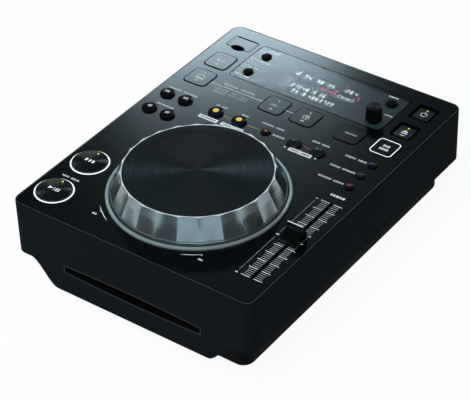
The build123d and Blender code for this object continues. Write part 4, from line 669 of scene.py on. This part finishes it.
on_deck("loop_labels", labels((-49.0, 35.5, (2, 3), 1.8, 10.0), (-26.5, 35.4, (3,), 1.8, 6.4),
                              (0.0, 35.7, (6, 4), 1.7, 20.5), (11.2, 26.8, (4,), 2.0, 10.6),
                              (44.0, 37.0, (4, 4), 1.8, 15.4)), ink_soft)
# White plates with their words left open, and an arrowhead on each side of the last one.
plates = []
for x, y, wide, words in ((-48.8, 16.6, 17.8, (6,)), (-26.4, 16.9, 20.6, (5, 5)), (36.7, 18.6, 20.8, (5, 5))):
    plates += [bar(x, y, wide, 4.2)] + labels((x, y, words, 1.5, wide - 4))
plates += [[(23.4, 17.5), (21.4, 18.6), (23.4, 19.7)], [(49.8, 17.5), (51.8, 18.6), (49.8, 19.7)]]
on_deck("loop_plates", plates, ink_white)

# ---------------------------------------------------------------- mode buttons
# Three small round buttons in black plastic at the right, with a tinted lens let into the middle of
# each and its label printed at its left.
lamp_red = lit("lamp_red", (0.50, 0.03, 0.08), 0.30, 0.1)
lamp_blue = lit("lamp_blue", (0.03, 0.06, 0.32), 0.25, 0.1)
lamp_dim = lit("lamp_dim", (0.05, 0.09, 0.08), 0.20, 0.2)
for name, lamp, words in (("jog_mode", lamp_blue, (5, 4)), ("tempo_range", lamp_dim, (5, 6)),
                          ("master_tempo", lamp_red, (6, 5))):
    x, y, top = middle(name + "_button")
    finish(moulded(name + "_cap", (0.004, 0.005, 0.006), 0.25, depth=0.05), name + "_button")
    dome(name + "_lamp", x, y, top - 0.3, 1.7, 0.5, lamp, name)
    wide = 1.9 * sum(words) + 1.4
    on_deck(name + "_label", labels((x - 5.6 - wide / 2, y + 0.3, words, 1.9, wide)), ink_soft)

# ---------------------------------------------------------------- square media buttons
# Flat square keys of black plastic, flush with the deck and in its satin finish, each with a printed
# symbol and a small lens. A lip under the deck holds each one in. The tempo lock key has a lit frame.
key_satin = moulded("key_satin", deck_black, 0.155, grains=2800, depth=0.02, unevenness=0.01)
finish(key_satin, "stop_button", "link_button", "usb_button", "disc_button", "tempo_lock_button",
       "playlist_button")


def stroke(points, width):
    """Outline of a line of even width: the points moved to each side along the line's normal."""
    points = np.asarray(points, float)
    along = np.gradient(points, axis=0)
    along /= np.linalg.norm(along, axis=1)[:, None]
    side = np.stack([-along[:, 1], along[:, 0]], 1) * width / 2
    return np.concatenate([points + side, (points - side)[::-1]])


def on_key(name, marks, colour=ink_white):
    """Prints marks, given round the key's middle in mm, on top of a key."""
    x, y, top = middle(name + "_button")
    printed(name + "_symbol", [np.asarray(loop, float) + (x, y) for loop in marks], top - ink_sunk,
            top + ink_proud, colour, name)


word_y, word_height = -5.6, 1.1
stem = [bar(0, -0.3, 0.5, 5.4), disc(0, -3.2, 0.9, 20), [(-0.9, 2.2), (0.9, 2.2), (0, 3.7)],
        stroke([(0.0, -1.6), (1.7, -0.4), (1.7, 1.0)], 0.45), bar(1.7, 1.3, 1.1, 1.1),
        stroke([(0.0, -2.2), (-1.7, -1.0), (-1.7, 0.2)], 0.45), disc(-1.7, 0.6, 0.65, 16)]
usb_mark = [np.stack([loop[:, 1], -loop[:, 0]], 1) * 0.8 + (0, -0.2) for loop in map(np.array, stem)]
disc_mark = [disc(0, 0, 2.9), disc(0, 0, 2.45), disc(0, 0, 0.8, 20), bow(0, 0, 1.2, 2.2, 20, 80)]
link_mark = [rounded(0, 0.9, 6.2, 4.0, 0.4), rounded(0, 0.9, 5.3, 3.1, 0.3), bar(0, -1.9, 7.4, 0.9)]
stop_mark = [disc(-2.2, 0, 1.2, 20), disc(2.2, 0, 1.2, 20), disc(2.2, 0, 0.8, 20), bar(0, 0, 2.0, 0.5)]
for name, mark, word in (("usb", usb_mark, 3), ("disc", disc_mark, 4), ("link", link_mark, 2), ("stop", stop_mark, 4)):
    on_key(name, mark + greeked(0, word_y, (word,), word_height))
on_key("playlist", greeked(0, 0.4, (8,), 1.7), ink_grey)
on_key("tempo_lock", greeked(0, 2.0, (3,), 2.6) + greeked(0, -2.4, (4,), 2.6))
x, y, top = middle("tempo_lock_button")
printed("tempo_lock_frame", [rounded(x, y, 19.2, 19.7, 3.4), rounded(x, y, 17.9, 18.4, 2.8)], top - 0.1,
        top + 0.05, lamp_white, "tempo_lock")
for name, lamp in (("link", lamp_green), ("usb", lamp_green), ("disc", lamp_green), ("stop", lamp_red)):
    x, y, top = middle(name + "_button")
    dome(name + "_lamp", x, y + 6.5, top - 0.1, 0.65, 0.35, lamp, name, steps=20)

# The narrow gaps round the keys, the USB cover and the window are dark. A thin matt black line on
# the deck edges each, painted shade that widens the gap's dark: the node's hidden lip, its gap to the
# deck, its corner and the line's width.
gap_shade_black = moulded("gap_shade_black", (0.0006, 0.0007, 0.0008), 0.7, depth=0.02, specular=0.05)
key_edge = (1.3, 0.3, 4.0, 0.35)
gap_shade_lines = []
for node, (lip, gap, corner, line) in (
        ("stop_button", key_edge), ("link_button", key_edge), ("usb_button", key_edge), ("disc_button", key_edge),
        ("playlist_button", key_edge), ("usb_cover", (0.0, 0.3, 1.6, 0.6)),
        ("display_window", (0.0, 0.15, 4.0, 0.6))):
    x, y, wide, deep = spread(node)
    wide, deep = wide + 2 * (gap - lip), deep + 2 * (gap - lip)
    gap_shade_lines += [rounded(x, y, wide + 2 * line, deep + 2 * line, corner + 0.3 + line),
             rounded(x, y, wide, deep, corner + 0.3)]
printed("deck_gap_shade", gap_shade_lines, deck_top - 0.05, deck_top + 0.015, gap_shade_black)

# Lines between the keys, the label over them, and a block of small print with three boxed words.
on_deck("media_lines", [bar(-51.5, 59.0, 49.6, 0.5), bar(-0.6, 58.9, 6.9, 0.5)], ink_white)
on_deck("source_label", labels((-51.8, 63.0, (6, 6), 1.9, 29.6)), ink_soft)
media_marks = labels((-45.6, 54.9, (4, 4), 1.6, 15.0), (-45.6, 51.6, (4, 4), 1.6, 17.0))
for row in (55.4, 52.8, 50.2):
    media_marks += [bar(-62.6, row, 10.6, 2.0)] + labels((-62.6, row, (5,), 0.9, 8.0))
on_deck("media_marks", media_marks, ink_grey)

# ---------------------------------------------------------------- display
# Window: a smoked acrylic plate let in flush, black on its underside but for the screen, where
# seven-segment figures, boxed words and a bar glow in pale grey and pink. Three matt black buttons
# come up through it, with labels printed beside them. The black underside glows faintly teal as painted light.
glass, tree, shader = shaded("window_smoke", {
    "Roughness": 0.0, "Transmission Weight": 1.0, "IOR": 1.01, "Coat IOR": 1.58, "Coat Roughness": 0.155})
outer_side = reckoned(tree, "SUBTRACT", 1.0, wired(tree, "ShaderNodeNewGeometry")["Backfacing"])
tree.links.new(outer_side, shader.inputs["Coat Weight"])
smear = wired(tree, "ShaderNodeTexNoise", {"Vector": wired(tree, "ShaderNodeTexCoord")["Object"], "Scale": 60.0})
smoke = wired(tree, "ShaderNodeMix", {"A": (0.86, 0.92, 0.94, 1), "B": (0.88, 0.94, 0.96, 1),
                                      "Factor": smear["Fac"]}, data_type="RGBA")["Result"]
tree.links.new(smoke, shader.inputs["Base Color"])
finish(glass, "display_window")

window_x, window_y, window_wide, window_deep = spread("display_window")
window_low, window_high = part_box("display_window")
under, window_top = window_low[2] / mm, window_high[2] / mm
screen_x, screen_y, screen_wide, screen_deep = 1.5, 100.5, 75.0, 33.8
mask = [rounded(window_x, window_y, window_wide - 0.6, window_deep - 0.6, 3.6),
        bar(screen_x, screen_y, screen_wide, screen_deep)]
mask += [disc(*middle(name + "_button")[:2], 5.9) for name in ("time", "auto_cue", "menu")]
knob_x, knob_y, knob_top = middle("selector_knob")
mask.append(disc(knob_x, knob_y, 5.0))
# The black mask under the glass glows faintly teal: painted light, standing in for the light that reaches it through
# the smoked plate.
mask_painted_glow = lit("mask_teal_painted_glow", (0.022, 0.034, 0.039), 1.0, 0.0, 0.0)
printed("window_mask", mask, under - 0.10, under - 0.03, mask_painted_glow, "case")

screen_z = under - 0.6
panel = lit("screen_panel", (0.023, 0.035, 0.040), 1.0, 0.0, 0.0)
printed("screen_face", [rounded(screen_x, screen_y, screen_wide + 4, screen_deep + 1.6, 1.0)],
        screen_z - 0.02, screen_z + 0.06, panel, "case")

segment_of = {"0": "abcdef", "1": "bc", "2": "abged", "3": "abgcd", "4": "fgbc", "5": "afgcd", "6": "afgedc",
              "7": "abc", "8": "abcdefg", "9": "abcdfg"}


def digit(x, y, shape, height):
    """A seven-segment figure: bars on a two-by-one lattice, those the figure needs."""
    wide, half, thick = height * 0.46, height / 2, height * 0.13
    lattice = {"a": bar(x, y + half, wide, thick), "g": bar(x, y, wide, thick), "d": bar(x, y - half, wide, thick)}
    for key, across, up in (("f", -1, 1), ("b", 1, 1), ("e", -1, -1), ("c", 1, -1)):
        lattice[key] = bar(x + across * wide / 2, y + up * half / 2, thick, half * 0.8)
    return [lattice[key] for key in segment_of[shape]]


def figures(x, y, text, height):
    """A run of seven-segment figures from x to the right, a dot or a space taking a narrower place."""
    marks = []
    for letter in text:
        if letter in segment_of:
            marks += digit(x + height * 0.3, y, letter, height)
            x += height * 0.85
        elif letter == ".":
            marks.append(bar(x - height * 0.1, y - height / 2, 0.55, 0.55))
            x += height * 0.25
        else:
            x += height * 0.5
    return marks


def boxed(x, y, words, width, depth, height, border):
    """Words in a thin rounded frame."""
    return [rounded(x, y, width, depth, 0.4), rounded(x, y, width - border[0], depth - border[1], 0.3)] + greeked(
        x, y, words, height)


def on_screen(name, marks, glow):
    """Lays glowing marks on the screen's face."""
    printed(name, marks, screen_z + 0.06, screen_z + 0.10, glow, "case")


grey_marks = []
for x, y, text, size in ((-31.5, 110.2, "12", 4.6), (-20.0, 109.8, "04", 4.4), (-8.5, 109.6, "38", 4.4),
                         (3.0, 109.3, "05", 3.8), (15.6, 110.6, "128.4", 4.2)):
    grey_marks += figures(x, y, text, size)
grey_marks += [bar(x, 111.5, 0.7, 0.7) for x in (-10.4, 1.3, 13.6)]
grey_marks += figures(-22.6, 94.2, "2704815 36", 4.1) + figures(-18.0, 87.6, "0519 4863720", 4.1)
on_screen("screen_white_marks", grey_marks + boxed(24.5, 101.0, (3, 5), 15.2, 2.8, 1.2, (1.0, 0.9)),
          lit("glow_grey", (0.80, 0.88, 0.90), 0.85, 0.0, 0.0))
soft_marks = []
for step in range(4):
    soft_marks += boxed(-28.0, 102.0 - step * 4.1, (5,), 10.5, 3.0, 1.3, (0.8, 0.7))
on_screen("screen_soft_marks", soft_marks + [bar(8.0, 98.5, 48.0, 0.4)],
          lit("glow_soft", (0.42, 0.50, 0.52), 0.6, 0.0, 0.0))
pink_marks = [bar(-0.6 + step * 1.5, 101.9, 1.15, 2.4) for step in range(11)]
pink_marks += [rounded(12.8, 105.6, 3.4, 2.2, 0.5), bar(32.6, 107.6, 3.6, 1.0), bar(33.8, 105.2, 1.2, 3.6),
               bar(30.4, 104.6, 2.6, 0.9), bar(17.6, 116.0, 2.4, 0.9)]
on_screen("screen_pink_marks", pink_marks, lit("glow_pink", (0.75, 0.10, 0.26), 0.75, 0.0, 0.0))

window_black = moulded("window_button_black", (0.0012, 0.0014, 0.0016), 0.5, depth=0.1, specular=0.15)
finish(window_black, "time_button", "auto_cue_button", "menu_button")
window_labels = labels((-58.9, 120.8, (4,), 1.8, 12.0), (-57.2, 104.8, (6, 4), 1.5, 13.0),
                       (-68.4, 106.0, (3,), 1.3, 4.4), (-62.0, 94.6, (4, 3), 1.6, 13.0),
                       (-61.5, 80.2, (5, 4), 1.6, 13.0), (57.0, 120.8, (4,), 1.5, 8.6),
                       (67.0, 97.3, (6,), 1.3, 7.0))
printed("window_labels", window_labels, window_top - ink_sunk, window_top + ink_proud, ink_white)

# ---------------------------------------------------------------- selector knob
# Knob: a ribbed cap of soft-touch plastic, pushed on the encoder's shaft, with a flat turned disc
# let into its top.
finish(moulded("knob_soft", (0.0020, 0.0024, 0.0027), 0.38, specular=0.2), "selector_knob")
finish(inner_black, "selector_encoder")
insert_radius = 5.3
profile = [(0, knob_top - 0.3), (insert_radius, knob_top - 0.3)]
profile += [(radius, knob_top + 0.02) for radius in np.linspace(insert_radius, 0, 10)]
knob_grey = lathed("knob_top_grey", knob_x, knob_y, (0.004, 0.005, 0.006), 0.3, grooves=9000, slope=0.2,
                   specular=0.3)
turned("knob_top", knob_x, knob_y, profile, knob_grey, "selector", 48)

# ---------------------------------------------------------------- power and eject
# Two black plastic keys sunk in wells of the deck: power with a printed ring symbol and eject with a
# triangle over a bar, each with a small green lens.
finish(moulded("well_key", (0.003, 0.0035, 0.004), 0.22, depth=0.05), "power_button", "eject_button")
turn = np.radians(np.linspace(125, 415, 28))
power_mark = [stroke(2.5 * np.stack([np.cos(turn), np.sin(turn)], 1), 0.6), bar(0, 2.0, 0.6, 2.6)]
eject_mark = [[(-2.7, -0.4), (2.7, -0.4), (0, 2.8)], bar(0, -1.7, 5.4, 0.9)] + greeked(0, -4.6, (5,), 1.1)
for name, mark in (("power", power_mark), ("eject", eject_mark)):
    on_key(name, mark)
    x, y, top = middle(name + "_button")
    dome(name + "_lamp", x, y + 5.6, top - 0.1, 0.75, 0.4, lamp_green, name, steps=20)

# ---------------------------------------------------------------- rear sockets
# Three nickel plated phono jacks stand out of the rear wall, each with a coloured insulator, beside a
# moulded mains inlet. The USB socket under its cover has a shell of pressed steel.
finish(moulded("jack_plate", (0.62, 0.58, 0.48), 0.25, metallic=1.0), "phono_jacks")
finish(moulded("socket_shell", (0.55, 0.56, 0.58), 0.25, metallic=1.0), "usb_socket")
finish(inner_black, "mains_inlet")
jack_z, wall_y, jack_end = 22.5, 139.5, 150.0


def turned_back(name, x, z, profile, material, steps=40):
    """A ring turned about an axis that runs to the rear: radius and depth pairs carried round."""
    profile = np.asarray(profile, float)
    turn = np.arange(steps) * 2 * math.pi / steps
    points = np.stack([x + profile[:, :1] * np.cos(turn), profile[:, 1:] + 0 * turn,
                       z + profile[:, :1] * np.sin(turn)], -1)
    return gridded(name, points, True, material, "case")


for x, tint, name in ((-24.0, (0.60, 0.60, 0.58), "white"), (-42.0, (0.45, 0.02, 0.02), "red"),
                      (-60.0, (0.02, 0.02, 0.02), "black")):
    insulator = moulded(f"insulator_{name}", tint, 0.35, depth=0.05)
    turned_back(f"jack_ring_{name}", x, jack_z, [(4.25, wall_y), (5.6, wall_y), (5.6, wall_y + 0.5),
                                                 (5.3, wall_y + 0.8), (4.25, wall_y + 0.8)], insulator)
    turned_back(f"jack_core_{name}", x, jack_z, [(1.65, jack_end - 0.8), (3.4, jack_end - 0.8), (3.4, jack_end),
                                                 (1.65, jack_end)], insulator)

# ---------------------------------------------------------------- inside
# Circuit boards in green lacquer, a drive of zinc plated sheet with black plastic parts, motors in
# bright cans, steel rods, a black rubber roller and a white acetal gear, between the tub and the deck.
finish(inner_black, "drive_frame", "disc_clamp", "spindle_hub", "pickup_sled")
finish(moulded("board_green", (0.008, 0.060, 0.030), 0.35, grains=1200, depth=0.2, unevenness=0.3),
       "control_board", "main_board", "power_supply")
finish(moulded("zinc_sheet", (0.48, 0.49, 0.48), 0.4, grains=400, depth=0.1, unevenness=0.4, metallic=1.0),
       "drive_cover", "traverse_plate")
finish(moulded("motor_can", (0.50, 0.51, 0.52), 0.3, metallic=1.0), "loading_motor", "traverse_motors",
       "guide_rods")
finish(moulded("roller_rubber", (0.02, 0.02, 0.02), 0.8, grains=1500, depth=0.4, specular=0.25), "loading_roller")
finish(moulded("gear_acetal", (0.75, 0.74, 0.70), 0.4, depth=0.05), "feed_gear")
